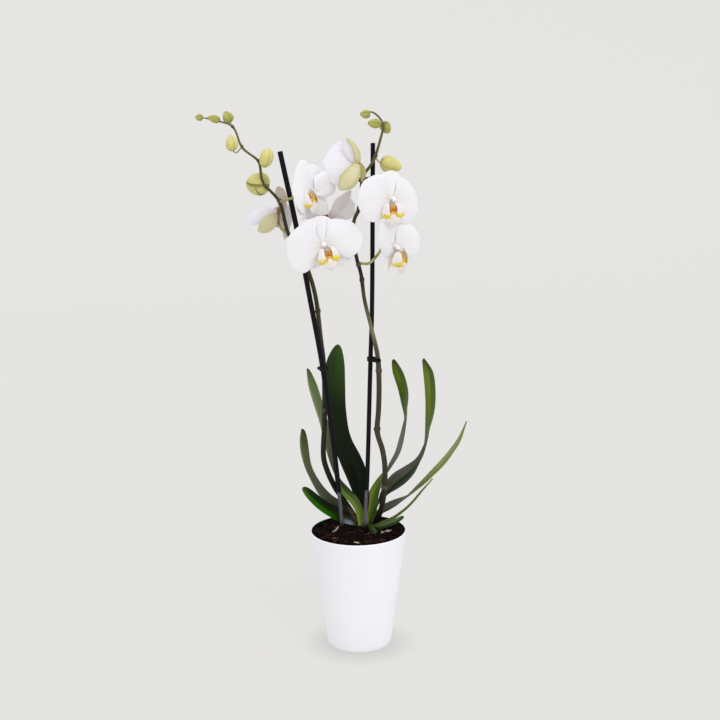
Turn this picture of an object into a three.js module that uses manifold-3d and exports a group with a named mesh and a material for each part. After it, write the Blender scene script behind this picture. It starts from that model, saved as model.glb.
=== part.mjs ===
// A potted moth orchid: two flower spikes tied to stakes, strap leaves and a tapered white pot.
// Millimetres, +Z up. The origin is the centre of the pot's flat underside.
// The open flowers look towards -Y, and +X is to the right as they are seen.

import * as THREE from 'three';
import { mergeVertices } from 'three/addons/utils/BufferGeometryUtils.js';
import { ParametricGeometry } from 'three/addons/geometries/ParametricGeometry.js';
import Module from 'manifold-3d';

const wasm = await Module();
wasm.setup();

const clearance = 0.3;              // between pieces that touch

const potHeight = 163;
const potRimRadius = 65;
const potBaseRadius = 43;
const potWall = 2;
const potFloor = 4;
const potEdgeRadius = 6;

const barkHeight = 160.5;           // level of the bark at the wall
const barkMound = 2;                // how far it rises round the crown
const chipCount = 28;

const crown = { x: 10, y: 20, foot: 138, top: 190, radius: 8 };

const stakeRadius = 3;
const spikeSides = 6;
const sheathLength = 3.5;
const sheathFlare = 0.8;
const sheathEndShare = 0.62;        // radius of the topmost sheath over the lowest one's
const pedicelRadius = 1.2;
const hubLength = 4.5;              // from a flower's centre back to its pedicel
const budStalkRadius = 0.8;

const leafThickness = 1.7;
const leafEdge = 0.9;
const leafFold = THREE.MathUtils.degToRad(18);
const leafBodyRows = 0.75;          // share of the rows before the rounded tip
const leafTipStart = 0.88;          // share of the length before the rounded tip

const tepalThickness = 0.8;
const tepalStart = 0.4;
// cup and bend curl a tepal across and along, and claw is the share of its width that it keeps at its foot.
const petal = {
  length: 48, width: 62, lift: 1.6, cup: -0.05, bend: 0.07, peak: 0.62, fullness: 0.62, claw: 0.2,
};
const sepal = {
  length: 42, width: 29, lift: -2.4, cup: -0.15, bend: 0.1, peak: 0.9, fullness: 0.75, claw: 0.3,
};
const dorsalSepal = { ...sepal, length: 37, width: 31 };
const petalAngles = [4, 176];
const sepalAngles = [-46, -134];
const columnLength = 9;
const columnRadius = 2.8;
const knobRadius = 3;               // the fleshy middle of the lip, under the column
const lobeThickness = 0.9;

const white = { color: 0xf7f6f2, roughness: 0.55 };
const lipYellow = { color: 0xf0c31e, roughness: 0.5 };
const leafGreen = { color: 0x2f5a1c, roughness: 0.4 };
const stemGreen = { color: 0x4d5a2a, roughness: 0.5 };
const budGreen = { color: 0xc4cc6c, roughness: 0.5 };
const stakeBlack = { color: 0x17141a, roughness: 0.45 };

const point = ([x, y, z]) => new THREE.Vector3(x, y, z);
const smoothCurve = (points) => new THREE.CatmullRomCurve3(points, false, 'catmullrom');
const sceneY = new THREE.Vector3(0, 1, 0);

// Repeatable random numbers from 0 to 1.
function randomFrom(seed) {
  let state = seed;
  return () => {
    state = (state * 16807) % 2147483647;
    return state / 2147483647;
  };
}

// ---- closed solids ----

function solidFrom(geometry) {
  const bare = geometry.clone();
  bare.deleteAttribute('normal');
  bare.deleteAttribute('uv');
  const merged = mergeVertices(bare, 1e-4);
  const mesh = new wasm.Mesh({
    numProp: 3,
    vertProperties: new Float32Array(merged.attributes.position.array),
    triVerts: new Uint32Array(merged.index.array),
  });
  return new wasm.Manifold(mesh);
}

function geometryFrom(solid) {
  const mesh = solid.getMesh();
  const geometry = new THREE.BufferGeometry();
  geometry.setAttribute('position', new THREE.BufferAttribute(mesh.vertProperties, 3));
  geometry.setIndex(new THREE.BufferAttribute(mesh.triVerts, 1));
  geometry.computeVertexNormals();
  return geometry;
}

function fuse(solids) {
  return solids.reduce((whole, solid) => whole.add(solid));
}

function largestBody(solid) {
  const bodies = solid.decompose();
  return bodies.reduce((best, body) => (body.volume() > best.volume() ? body : best));
}

// A surface given a thickness, split into triangles alike on both faces.
function blade(pointAt, across, along, thicknessAt) {
  const sheet = new ParametricGeometry(pointAt, across, along);
  const { position, normal } = sheet.attributes;
  const count = position.count;
  const columns = across + 1;
  const corners = [];
  for (const side of [0.5, -0.5]) {
    for (let i = 0; i < count; i++) {
      const row = Math.floor(i / columns);
      const offset = side * thicknessAt((i % columns) / across, row / along);
      corners.push(
        position.getX(i) + normal.getX(i) * offset,
        position.getY(i) + normal.getY(i) * offset,
        position.getZ(i) + normal.getZ(i) * offset,
      );
    }
  }
  const front = Array.from(sheet.index.array);
  const back = front.map((corner) => corner + count).reverse();
  const edge = [];
  for (let i = 0; i < across; i++) edge.push(i);
  for (let j = 0; j < along; j++) edge.push(j * columns + across);
  for (let i = across; i > 0; i--) edge.push(along * columns + i);
  for (let j = along; j > 0; j--) edge.push(j * columns);
  const rim = edge.flatMap((from, i) => {
    const to = edge[(i + 1) % edge.length];
    return [to, from, from + count, to, from + count, to + count];
  });
  const closed = new THREE.BufferGeometry();
  closed.setAttribute('position', new THREE.Float32BufferAttribute(corners, 3));
  closed.setIndex([...front, ...back, ...rim]);
  return solidFrom(closed);
}

// A round stem along a curve, from one radius to another.
function stem(points, startRadius, endRadius, sides, steps, extra = 0) {
  const curve = smoothCurve(points);
  const frames = curve.computeFrenetFrames(steps, false);
  const geometry = new THREE.CylinderGeometry(1, 1, 1, sides, steps);
  const { position } = geometry.attributes;
  for (let i = 0; i < position.count; i++) {
    const share = position.getY(i) + 0.5;
    const step = Math.round(share * steps);
    const radius = THREE.MathUtils.lerp(startRadius, endRadius, share) + extra;
    const place = curve.getPointAt(share)
      .addScaledVector(frames.normals[step], position.getX(i) * radius)
      .addScaledVector(frames.binormals[step], -position.getZ(i) * radius);
    position.setXYZ(i, place.x, place.y, place.z);
  }
  return solidFrom(geometry);
}

// A solid of revolution about +Z at x, y.
function turned(profile, segments, x = 0, y = 0) {
  const outline = profile.map(([radius, height]) => new THREE.Vector2(radius, height));
  const geometry = new THREE.LatheGeometry(outline, segments);
  geometry.rotateX(Math.PI / 2);
  geometry.translate(x, y, 0);
  return solidFrom(geometry);
}

// ---- placing the pieces ----

const orchid = new THREE.Group();
const placed = [];

function boxesMeet(first, second) {
  const a = first.boundingBox();
  const b = second.boundingBox();
  return [0, 1, 2].every((axis) => a.min[axis] < b.max[axis] && b.min[axis] < a.max[axis]);
}

// build(extra) gives the piece, or the piece grown outwards by extra. Each piece gives way
// to the ones placed before it, with the clearance between them.
function place(name, finish, build) {
  let solid = build(0);
  for (const earlier of placed) {
    if (boxesMeet(solid, earlier)) solid = solid.subtract(earlier);
  }
  placed.push(build(clearance));
  const material = new THREE.MeshStandardMaterial({ metalness: 0, ...finish });
  const mesh = new THREE.Mesh(geometryFrom(largestBody(solid)), material);
  mesh.name = name;
  orchid.add(mesh);
}

// ---- pot ----

const potRadiusAt = (z) => THREE.MathUtils.mapLinear(z, 0, potHeight, potBaseRadius, potRimRadius);

function potProfile() {
  const edge = [];
  const edgeSteps = 4;
  for (let i = 0; i <= edgeSteps; i++) {
    const angle = (Math.PI / 2) * (i / edgeSteps);
    const z = potEdgeRadius * (1 - Math.cos(angle));
    edge.push([potRadiusAt(z) - potEdgeRadius * (1 - Math.sin(angle)), z]);
  }
  const lip = potWall / 2;
  return [
    [0, 0],
    ...edge,
    [potRimRadius, potHeight - lip],
    [potRimRadius - lip * 0.6, potHeight],
    [potRimRadius - potWall + lip * 0.6, potHeight],
    [potRimRadius - potWall, potHeight - lip],
    [potRadiusAt(potFloor) - potWall - potEdgeRadius / 2, potFloor],
    [0, potFloor],
  ];
}

// ---- bark ----

function barkBulk() {
  const floorRadius = potRadiusAt(potFloor) - potWall - potEdgeRadius / 2 - clearance;
  const topRadius = potRimRadius - potWall;
  const wallRadius = (z) => THREE.MathUtils.mapLinear(z, potFloor, potHeight, floorRadius, topRadius);
  const bottom = potFloor + clearance;
  return {
    solid: turned([
      [0, bottom],
      [wallRadius(bottom) - clearance, bottom],
      [wallRadius(barkHeight - 1) - clearance, barkHeight - 1],
      [potRimRadius * 0.6, barkHeight],
      [0, barkHeight + barkMound],
    ], 24),
    rimRadius: wallRadius(barkHeight) - clearance,
  };
}

// Flat broken chips at every angle, sunk to about half their depth and clear of the wall.
function bark() {
  const random = randomFrom(41);
  const between = (low, high) => low + (high - low) * random();
  const { solid, rimRadius } = barkBulk();
  const chips = [];
  for (let i = 0; i < chipCount; i++) {
    const length = between(8, 17);
    const width = between(5, 10);
    const chip = new THREE.BoxGeometry(length, width, between(3, 5));
    const { position } = chip.attributes;
    const skew = between(0.55, 0.95);
    for (let j = 0; j < position.count; j++) {
      if (position.getX(j) > 0) position.setY(j, position.getY(j) * skew);
      if (position.getY(j) > 0) position.setX(j, position.getX(j) * skew);
    }
    const turn = new THREE.Euler(between(-0.5, 0.5), between(-0.5, 0.5), between(0, Math.PI * 2));
    chip.applyMatrix4(new THREE.Matrix4().makeRotationFromEuler(turn));
    const reach = rimRadius - length / 2 - 2;
    const radius = reach * Math.sqrt((i + 0.5) / chipCount);
    const angle = i * Math.PI * (3 - Math.sqrt(5));
    const mound = barkMound * (1 - radius / rimRadius);
    const height = barkHeight + mound + between(-0.5, 1);
    chip.translate(radius * Math.cos(angle), radius * Math.sin(angle), height);
    chips.push(solidFrom(chip));
  }
  return fuse([solid, ...chips]);
}

// ---- stakes and clips ----

const stakes = {
  left: [[-22, 12, 110], [-22, 12, 160], [-31, 8, 272], [-45, 6, 390], [-60, 4, 479], [-76, 3, 575],
    [-94, 3, 672]],
  right: [[8, 6, 110], [8, 6, 160], [13, 6, 235], [19, 7, 397], [22, 7, 478], [25, 8, 682]],
};

function stake(points, extra) {
  return stem(points.map(point), stakeRadius, stakeRadius, 8, 9, extra);
}

// A block round both stems with a finger tab on each side. The stems' own holes are cut when it is placed.
function clip({ at, towards, height, tabTurn }) {
  const spacing = Math.hypot(towards[0] - at[0], towards[1] - at[1]);
  const grip = stakeRadius + 1.4;
  const tabLength = 2.5;
  const tabWidth = 1.6;
  const outline = new THREE.Shape();
  outline.absarc(0, 0, grip, Math.PI * 0.42, Math.PI * 1.58, false);
  outline.absarc(spacing, 0, grip, Math.PI * 1.42, Math.PI * 0.58, false);
  const extrusion = { depth: height, bevelEnabled: false, curveSegments: 6 };
  const block = new THREE.ExtrudeGeometry(outline, extrusion);
  block.translate(0, 0, -height / 2);
  const reach = Math.abs(Math.cos(tabTurn)) * spacing / 2 + grip + tabLength;
  const tabs = new THREE.BoxGeometry(2 * reach, tabWidth, height * 0.7);
  tabs.rotateZ(tabTurn);
  tabs.translate(spacing / 2, 0, 0);
  const whole = [block, tabs].map((geometry) => {
    geometry.rotateZ(Math.atan2(towards[1] - at[1], towards[0] - at[0]));
    geometry.translate(...at);
    return solidFrom(geometry);
  });
  return fuse(whole);
}

// ---- flower spikes ----

const spikes = {
  left: {
    radii: [3, 1.1],
    path: [
      [6, 20, 158], [-8, 20, 180], [-19, 20, 200], [-30, 18, 217], [-44, 17, 244], [-48, 16, 262],
      [-46, 14, 308],
      [-44, 14, 355], [-45, 13.5, 395], [-47, 12, 424], [-50, 11.5, 478], [-59, 11.5, 514], [-72, 11, 541],
      [-86, 10, 565], [-96, 9, 608], [-107, 7, 621], [-118, 5, 633], [-121, 4, 657], [-143, 3, 679],
      [-153, 2, 704],
      [-171, 1, 712], [-191, 0, 717],
    ],
    sheaths: [[-44.5, 14, 325], [-49, 11.7, 463], [-96, 9, 608], [-118, 5, 632], [-122, 4, 661],
      [-143, 3, 679],
      [-153, 2, 704]],
  },
  right: {
    radii: [3, 1.3],
    path: [
      [17, 21, 158], [24, 17, 168], [31, 12, 186], [35, 7, 209], [37, 1, 246], [34, 0, 274],
      [27, -0.5, 300],
      [29, -0.5, 330], [30, -0.5, 366], [28.5, -0.5, 403], [21, -1.5, 440], [12, -2, 479], [8, -2, 512],
      [2, -2, 536],
      [-2, -2, 565], [0, -2, 585], [6, -2, 598], [9, -2, 616], [11, -2, 639], [21, -2, 653], [28, -1, 666],
      [36, 0, 692], [39, 0, 705], [35, 0, 715], [26, 0, 720],
    ],
    sheaths: [[36, 5, 218], [27.3, -0.5, 302], [30, -0.5, 385], [8.3, -2, 505], [7, -2, 527], [6, -2, 598],
      [27, -1, 665]],
  },
};

function spike({ path, radii, sheaths }, flowers, buds, extra) {
  const start = path[0];
  const main = stem(path.map(point), radii[0], radii[1], spikeSides, 32, extra);
  const bands = sheaths.map((place) => {
    const share = (place[2] - start[2]) / (path.at(-1)[2] - start[2]);
    const radius = radii[0] * THREE.MathUtils.lerp(1, sheathEndShare, share);
    const at = point(place);
    const top = at.clone().add(new THREE.Vector3(0, 0, sheathLength));
    return stem([at, top], radius, radius + sheathFlare, spikeSides, 1, extra);
  });
  const pedicels = flowers.map(({ node, centre, azimuth, elevation }) => {
    const away = facing(azimuth, elevation).negate();
    const hub = point(centre).addScaledVector(away, hubLength + clearance);
    const turn = point(centre).addScaledVector(away, 3 * hubLength);
    return stem([point(node), turn, hub], pedicelRadius, pedicelRadius, 5, 4, extra);
  });
  const stalks = buds.map(({ node, via = [], centre, axis, length }) => {
    const base = point(centre).addScaledVector(point(axis).normalize(), -length / 2 + 1);
    return stem([point(node), ...via.map(point), base], budStalkRadius, budStalkRadius, 4, 3, extra);
  });
  return fuse([main, ...bands, ...pedicels, ...stalks]);
}

// ---- buds ----

const leftBuds = [
  { node: [-188, 0, 716.5], centre: [-196, 0, 717], axis: [-1, 0, 0.1], length: 10, width: 9 },
  { node: [-171, 1, 712], centre: [-177, -1, 715], axis: [-1, -0.1, 0.3], length: 16, width: 10 },
  { node: [-153, 2, 704], centre: [-160, 3, 717], axis: [-0.4, 0, 1], length: 15, width: 14 },
  { node: [-143, 3, 679], via: [[-150, 1, 672]], centre: [-156, 0, 684], axis: [-0.1, 0, 1], length: 20,
    width: 16 },
  { node: [-121, 4, 657], centre: [-112, -3, 665], axis: [0.2, 0, 1], length: 25, width: 18 },
  { node: [-118, 5, 632], centre: [-126, 19, 631], axis: [-0.6, 0.7, -0.3], length: 34, width: 29 },
];

const rightBuds = [
  { node: [33, 0, 717], centre: [16, 0, 719], axis: [-1, 0, 0.1], length: 13, width: 11 },
  { node: [37, 0, 711], centre: [27, -4, 707], axis: [-1, -0.3, 0.1], length: 17, width: 12 },
  { node: [39, 0, 703], centre: [42, 9, 701], axis: [0.3, 0.5, -0.6], length: 18, width: 14 },
  { node: [27, -1, 665], via: [[30, -2, 657], [35, -1, 660]], centre: [48, 0, 656], axis: [1, 0, -0.25],
    length: 28, width: 20 },
];

// An egg with three rounded corners, where the sepals meet, narrowing towards its tip.
function bud({ centre, axis, length, width }, extra) {
  const geometry = new THREE.SphereGeometry(1, 9, 5);
  const { position } = geometry.attributes;
  for (let i = 0; i < position.count; i++) {
    const height = position.getY(i);
    const corner = Math.cos(3 * Math.atan2(position.getZ(i), position.getX(i)));
    const narrow = (1 - 0.18 * height) * (1 + 0.05 * corner);
    position.setX(i, position.getX(i) * narrow * (width / 2 + extra));
    position.setZ(i, position.getZ(i) * narrow * (width / 2 + extra));
    position.setY(i, height * (length / 2 + extra));
  }
  const turn = new THREE.Quaternion().setFromUnitVectors(sceneY, point(axis).normalize());
  geometry.applyQuaternion(turn);
  geometry.translate(...centre);
  return solidFrom(geometry);
}

// ---- leaves ----

// Each station is x, y, z, width and turn. Turn is the angle in degrees between the leaf's width and
// the X-Z plane: at 0 the upper face looks to -Y, at 90 to +X for a leaf that points up.
const leaves = {
  leaf_upright: [
    [12, 21, 172, 20, 10], [9, 24, 202, 27, 12], [-1, 27, 231, 31, 14], [-10, 28, 253, 31, 16],
    [-19, 29, 274, 28, 16],
    [-25, 30, 294, 27, 16], [-29, 31, 323, 27, 14], [-31, 31, 352, 27, 12], [-31, 30, 385, 25, 10],
    [-28, 29, 413, 22, 8],
  ],
  leaf_upper_left: [
    [7, 23, 168, 11, 70], [0, 27, 188, 14, 75], [-15, 31, 206, 17, 80], [-29, 34, 226, 20, 90],
    [-37, 36, 248, 22, 105],
    [-43, 37, 273, 24, 112], [-48, 37, 301, 24, 114], [-54, 37, 325, 24, 113], [-62, 36, 353, 23, 111],
    [-69, 35, 380, 16, 108],
  ],
  leaf_left: [
    [5, 21, 166, 12, 80], [-6, 24, 170, 15, 85], [-17, 27, 174, 18, 92], [-31, 29, 185, 23, 100],
    [-46, 30, 199, 25, 106],
    [-60, 30, 220, 25, 110], [-71, 29, 245, 25, 112], [-77, 28, 273, 21, 112], [-76, 27, 298, 12, 110],
  ],
  leaf_lower_left: [
    [4, 19, 161, 10, 65], [-8, 23, 163, 13, 63], [-18, 25, 165, 15, 61], [-28, 24, 170, 18, 60],
    [-42, 21, 181, 20, 60],
    [-55, 17, 195, 20, 58], [-65, 13, 207, 18, 57], [-75, 8, 220, 12, 55],
  ],
  leaf_right: [
    [15, 22, 176, 12, -60], [20, 24, 204, 14, -80], [33, 25, 225, 18, -100], [46, 26, 243, 23, -110],
    [58, 26, 264, 24, -114], [66, 26, 288, 24, -110], [70, 26, 309, 24, -95], [70, 26, 326, 24, -70],
    [65, 25, 350, 23, -58], [56, 24, 374, 20, -58], [49, 22, 394, 9, -60],
  ],
  leaf_tall_right: [
    [14, 19, 168, 15, -35], [22, 20, 188, 22, -45], [35, 21, 206, 25, -95], [52, 22, 219, 28, -130],
    [69, 22, 234, 27, -124], [84, 21, 256, 25, -108], [95, 21, 277, 24, -92], [101, 20, 297, 23, -76],
    [104, 19, 325, 24, -62], [103, 18, 352, 24, -60], [97, 17, 377, 20, -60], [89, 16, 396, 9, -62],
  ],
  leaf_far_right: [
    [15, 19, 165, 11, -90], [27, 19, 176, 15, -105], [41, 18, 187, 20, -116], [57, 17, 197, 21, -114],
    [73, 16, 208, 20, -98], [87, 15, 221, 20, -76], [100, 14, 236, 20, -69], [114, 13, 251, 19, -66],
    [127, 12, 268, 17, -66], [138, 10, 286, 13, -66], [147, 8, 311, 3, -66],
  ],
  leaf_thin_right: [
    [15, 16, 162, 8, -72], [26, 10, 165, 9, -75], [36, 5, 171, 10, -77], [49, 1, 179, 11, -78],
    [58, -3, 187, 11, -78],
    [67, -7, 196, 10, -78], [77, -10, 208, 9, -78], [86, -14, 221, 8, -78], [100, -20, 240, 3, -78],
  ],
  leaf_short_right: [
    [15, 14, 160, 8, -66], [27, 5, 164, 11, -64], [39, -3, 171, 13, -63], [51, -9, 178, 13, -63],
    [62, -14, 185, 10, -63],
  ],
  leaf_small_front: [[12, 13, 163, 6, -85], [19, 2, 165, 8, -85], [27, -9, 163, 4, -85]],
};

function leaf(stations, extra) {
  const spine = smoothCurve(stations.map(point));
  const form = smoothCurve(stations.map(([, , , width, turn]) => new THREE.Vector3(width / 2, turn, 0)));
  const tipAngle = (v) => Math.max(0, (v - leafBodyRows) / (1 - leafBodyRows)) * (Math.PI / 2) * 0.94;
  const pointAt = (u, v, target) => {
    const body = Math.min(v / leafBodyRows, 1) * leafTipStart;
    const share = body + (1 - leafTipStart) * Math.sin(tipAngle(v));
    const { x: halfWidth, y: turn } = form.getPoint(share);
    const tangent = spine.getTangent(share);
    const level = new THREE.Vector3().crossVectors(sceneY, tangent).normalize();
    const side = level.clone().applyAxisAngle(tangent, THREE.MathUtils.degToRad(turn));
    const upper = new THREE.Vector3().crossVectors(side, tangent);
    const reach = (2 * u - 1) * (halfWidth * Math.cos(tipAngle(v)) + extra);
    target.copy(spine.getPoint(share))
      .addScaledVector(side, reach * Math.cos(leafFold))
      .addScaledVector(upper, Math.abs(reach) * Math.sin(leafFold));
  };
  const thicknessAt = (u) => THREE.MathUtils.lerp(leafThickness, leafEdge, Math.abs(2 * u - 1)) + 2 * extra;
  return blade(pointAt, 2, 12, thicknessAt);
}

// ---- flowers ----

// The direction that a flower looks in. At azimuth 0 it looks to -Y, and at 90 to +X.
function facing(azimuth, elevation) {
  const turn = THREE.MathUtils.degToRad(azimuth);
  const rise = THREE.MathUtils.degToRad(elevation);
  const level = new THREE.Vector3(Math.sin(turn), -Math.cos(turn), 0);
  return level.multiplyScalar(Math.cos(rise)).setZ(Math.sin(rise));
}

// node is where the pedicel leaves its spike, and open the angle between the tepals and the direction
// that the flower looks in.
const leftFlowers = {
  flower_front: {
    node: [-65, 11.3, 527], centre: [-39, -28, 557], azimuth: 0, elevation: 0, roll: 6, size: 1.02, open: 90,
  },
  flower_back_left: {
    node: [-87, 10, 568], centre: [-100, 19, 600], azimuth: -150, elevation: -18, roll: 4, size: 0.9,
    open: 62,
  },
  flower_upper_left: {
    node: [-96, 9, 608], centre: [-54, -12, 619], azimuth: 48, elevation: 0, roll: 4, size: 0.95, open: 82,
  },
};

const rightFlowers = {
  flower_lower_right: {
    node: [6.3, -2, 528], centre: [50, -14, 550], azimuth: 45, elevation: -15, roll: -4, size: 0.92, open: 74,
  },
  flower_back: {
    node: [-2, -2, 566], centre: [-35, 28, 588], azimuth: 170, elevation: 8, roll: 43, size: 0.95, open: 86,
  },
  flower_upper_right: {
    node: [6, -2, 598], centre: [47, -34, 614], azimuth: 30, elevation: -6, roll: 2, size: 0.96, open: 98,
  },
  flower_half_open: {
    node: [11, -2, 640], centre: [6, 6, 656], azimuth: -112, elevation: 8, roll: -12, size: 0.9, open: 50,
    petalWidth: 58,
  },
};

function turnInto({ centre, azimuth, elevation, roll, size }) {
  const ahead = facing(azimuth, elevation);
  const turn = THREE.MathUtils.degToRad(azimuth);
  const right = new THREE.Vector3(Math.cos(turn), Math.sin(turn), 0);
  right.applyAxisAngle(ahead, THREE.MathUtils.degToRad(roll));
  const up = new THREE.Vector3().crossVectors(ahead, right);
  return new THREE.Matrix4()
    .makeBasis(right, up, ahead)
    .scale(new THREE.Vector3(size, size, size))
    .setPosition(...centre);
}

// One petal or sepal, in the flower's own frame: X right, Y up, Z ahead, at the angle its midline points.
function tepal(shape, angle, open, columns, place, extra) {
  const midline = THREE.MathUtils.degToRad(angle);
  const spread = THREE.MathUtils.degToRad(open);
  const outward = new THREE.Vector3(Math.cos(midline), Math.sin(midline), 0);
  const across = new THREE.Vector3(-Math.sin(midline), Math.cos(midline), 0);
  const ahead = new THREE.Vector3(0, 0, 1);
  const along = outward.clone().multiplyScalar(Math.sin(spread)).addScaledVector(ahead, Math.cos(spread));
  const above = ahead.clone().multiplyScalar(Math.sin(spread)).addScaledVector(outward, -Math.cos(spread));
  const pointAt = (u, v, target) => {
    const share = 0.015 + 0.965 * (0.5 - 0.5 * Math.cos(Math.PI * v));
    const side = 2 * u - 1;
    const bulge = Math.sin(Math.PI * share ** shape.peak) ** shape.fullness;
    const claw = THREE.MathUtils.lerp(shape.claw, 1, THREE.MathUtils.smoothstep(share, 0, 0.16));
    const halfWidth = (shape.width / 2) * bulge * claw + extra;
    const curl = shape.cup * side * side * halfWidth - shape.bend * share * share * shape.length;
    target.set(0, 0, 0)
      .addScaledVector(along, tepalStart + shape.length * share)
      .addScaledVector(across, side * halfWidth)
      .addScaledVector(above, shape.lift + curl)
      .applyMatrix4(place);
  };
  return blade(pointAt, columns, 5, () => tepalThickness + 2 * extra);
}

function flower(spec, extra) {
  const place = turnInto(spec);
  const sidePetal = { ...petal, width: spec.petalWidth ?? petal.width };
  const petals = petalAngles.map((angle) => tepal(sidePetal, angle, spec.open, 4, place, extra));
  const sepals = sepalAngles.map((angle) => tepal(sepal, angle, spec.open, 2, place, extra));
  const along = (x, y, z) => new THREE.Vector3(x, y, z).applyMatrix4(place);
  const columnPoints = [along(0, 0, -hubLength / spec.size), along(0, 0, 2), along(0, 0, columnLength)];
  const column = stem(columnPoints, columnRadius, columnRadius, 6, 2, extra);
  const dorsal = tepal(dorsalSepal, 90, spec.open, 2, place, extra);
  return fuse([column, ...petals, ...sepals, dorsal]);
}

// The lip hangs below the column: a pointed front lobe between two upturned side lobes, joined at a knob.
const frontLobe = [[0, -6, 4, 5], [0, -10, 11, 8], [0, -17, 15, 15], [0, -24, 14, 8], [0, -28, 11, 2]];
const sideLobe = [[2, -6, 4, 4], [8, -12, 8, 9], [12, -11, 13, 12], [12, -5, 16, 6]];

function lobe(stations, sideways, place, extra) {
  const spine = smoothCurve(stations.map(point));
  const widths = smoothCurve(stations.map(([, , , width]) => new THREE.Vector3(width / 2, 0, 0)));
  const pointAt = (u, v, target) => {
    const tangent = spine.getTangent(v);
    const side = new THREE.Vector3().crossVectors(tangent, sideways).cross(tangent).normalize();
    const halfWidth = widths.getPoint(v).x + extra;
    target.copy(spine.getPoint(v)).addScaledVector(side, (2 * u - 1) * halfWidth).applyMatrix4(place);
  };
  return blade(pointAt, 2, 3, () => lobeThickness + 2 * extra);
}

function lip(spec, extra) {
  const place = turnInto(spec);
  const mirrored = sideLobe.map(([x, ...rest]) => [-x, ...rest]);
  const knob = new THREE.SphereGeometry(knobRadius + extra, 6, 3);
  knob.translate(0, -6.5, 5.5);
  knob.applyMatrix4(place);
  return fuse([
    solidFrom(knob),
    lobe(frontLobe, new THREE.Vector3(1, 0, 0), place, extra),
    lobe(sideLobe, new THREE.Vector3(0.3, 0.5, -0.6), place, extra),
    lobe(mirrored, new THREE.Vector3(-0.3, 0.5, -0.6), place, extra),
  ]);
}

// ---- assembly: each piece gives way to those before it ----

place('stake_left', stakeBlack, (extra) => stake(stakes.left, extra));
place('stake_right', stakeBlack, (extra) => stake(stakes.right, extra));
place('spike_left', stemGreen, (extra) => (
  spike(spikes.left, Object.values(leftFlowers), leftBuds, extra)
));
place('spike_right', stemGreen, (extra) => (
  spike(spikes.right, Object.values(rightFlowers), rightBuds, extra)
));

place('crown', { color: 0x6f8a35, roughness: 0.5 }, (extra) => turned([
  [0, crown.foot - extra],
  [crown.radius * 0.7 + extra, crown.foot],
  [crown.radius + extra, crown.top - 30],
  [crown.radius * 0.9 + extra, crown.top - 12],
  [crown.radius * 0.4 + extra, crown.top],
  [0, crown.top + extra],
], 10, crown.x, crown.y));

const clips = {
  clip_left: { at: [-44.5, 6, 386], towards: [-44.5, 13.7, 386], height: 5.5, tabTurn: Math.PI / 2 },
  clip_right: { at: [19, 7, 397], towards: [28, -0.5, 397], height: 6, tabTurn: 0 },
  clip_top: { at: [24.2, 7.8, 636], towards: [11, -1.5, 636], height: 5.5, tabTurn: 0 },
};
for (const [name, spec] of Object.entries(clips)) {
  place(name, stakeBlack, () => clip(spec));
}

for (const [name, stations] of Object.entries(leaves)) {
  place(name, leafGreen, (extra) => leaf(stations, extra));
}

leftBuds.forEach((spec, i) => place(`bud_left_${i + 1}`, budGreen, (extra) => bud(spec, extra)));
rightBuds.forEach((spec, i) => place(`bud_right_${i + 1}`, budGreen, (extra) => bud(spec, extra)));

for (const [name, spec] of Object.entries({ ...leftFlowers, ...rightFlowers })) {
  place(name, white, (extra) => flower(spec, extra));
  place(`${name}_lip`, lipYellow, (extra) => lip(spec, extra));
}

place('bark', { color: 0x2a1710, roughness: 0.9 }, bark);
place('pot', { color: 0xf0eff2, roughness: 0.35 }, () => turned(potProfile(), 36));

export default orchid;
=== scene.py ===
import math
import random

import bmesh
import bpy
from mathutils import Matrix, Vector, noise


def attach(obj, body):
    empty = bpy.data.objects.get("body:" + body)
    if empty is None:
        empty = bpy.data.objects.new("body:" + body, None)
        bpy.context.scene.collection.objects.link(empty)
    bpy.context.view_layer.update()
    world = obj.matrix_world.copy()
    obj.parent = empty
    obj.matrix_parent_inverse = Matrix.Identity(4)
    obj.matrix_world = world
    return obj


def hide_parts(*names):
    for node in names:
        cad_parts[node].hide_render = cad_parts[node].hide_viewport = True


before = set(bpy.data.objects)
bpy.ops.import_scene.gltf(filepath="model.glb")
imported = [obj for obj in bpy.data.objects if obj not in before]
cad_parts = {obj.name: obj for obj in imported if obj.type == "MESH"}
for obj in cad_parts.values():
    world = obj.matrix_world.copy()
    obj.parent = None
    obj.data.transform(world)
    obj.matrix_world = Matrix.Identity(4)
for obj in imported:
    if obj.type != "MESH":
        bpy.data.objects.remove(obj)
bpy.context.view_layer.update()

scene = bpy.context.scene
mm = 0.001
xAxis, yAxis, zAxis = Vector((1, 0, 0)), Vector((0, 1, 0)), Vector((0, 0, 1))


# A colour of three numbers is as seen on screen, 0 to 255. One of four is what it is, such as a multiplier.
def tone(colour):
    if len(colour) == 4:
        return colour
    shares = [value / 255 for value in colour]
    linear = [share / 12.92 if share < 0.04045 else ((share + 0.055) / 1.055) ** 2.4 for share in shares]
    return (*linear, 1)


def mixed(low, high, share):
    return low + (high - low) * share


def eased(share, low, high):
    share = min(max((share - low) / (high - low), 0), 1)
    return share * share * (3 - 2 * share)


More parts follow.
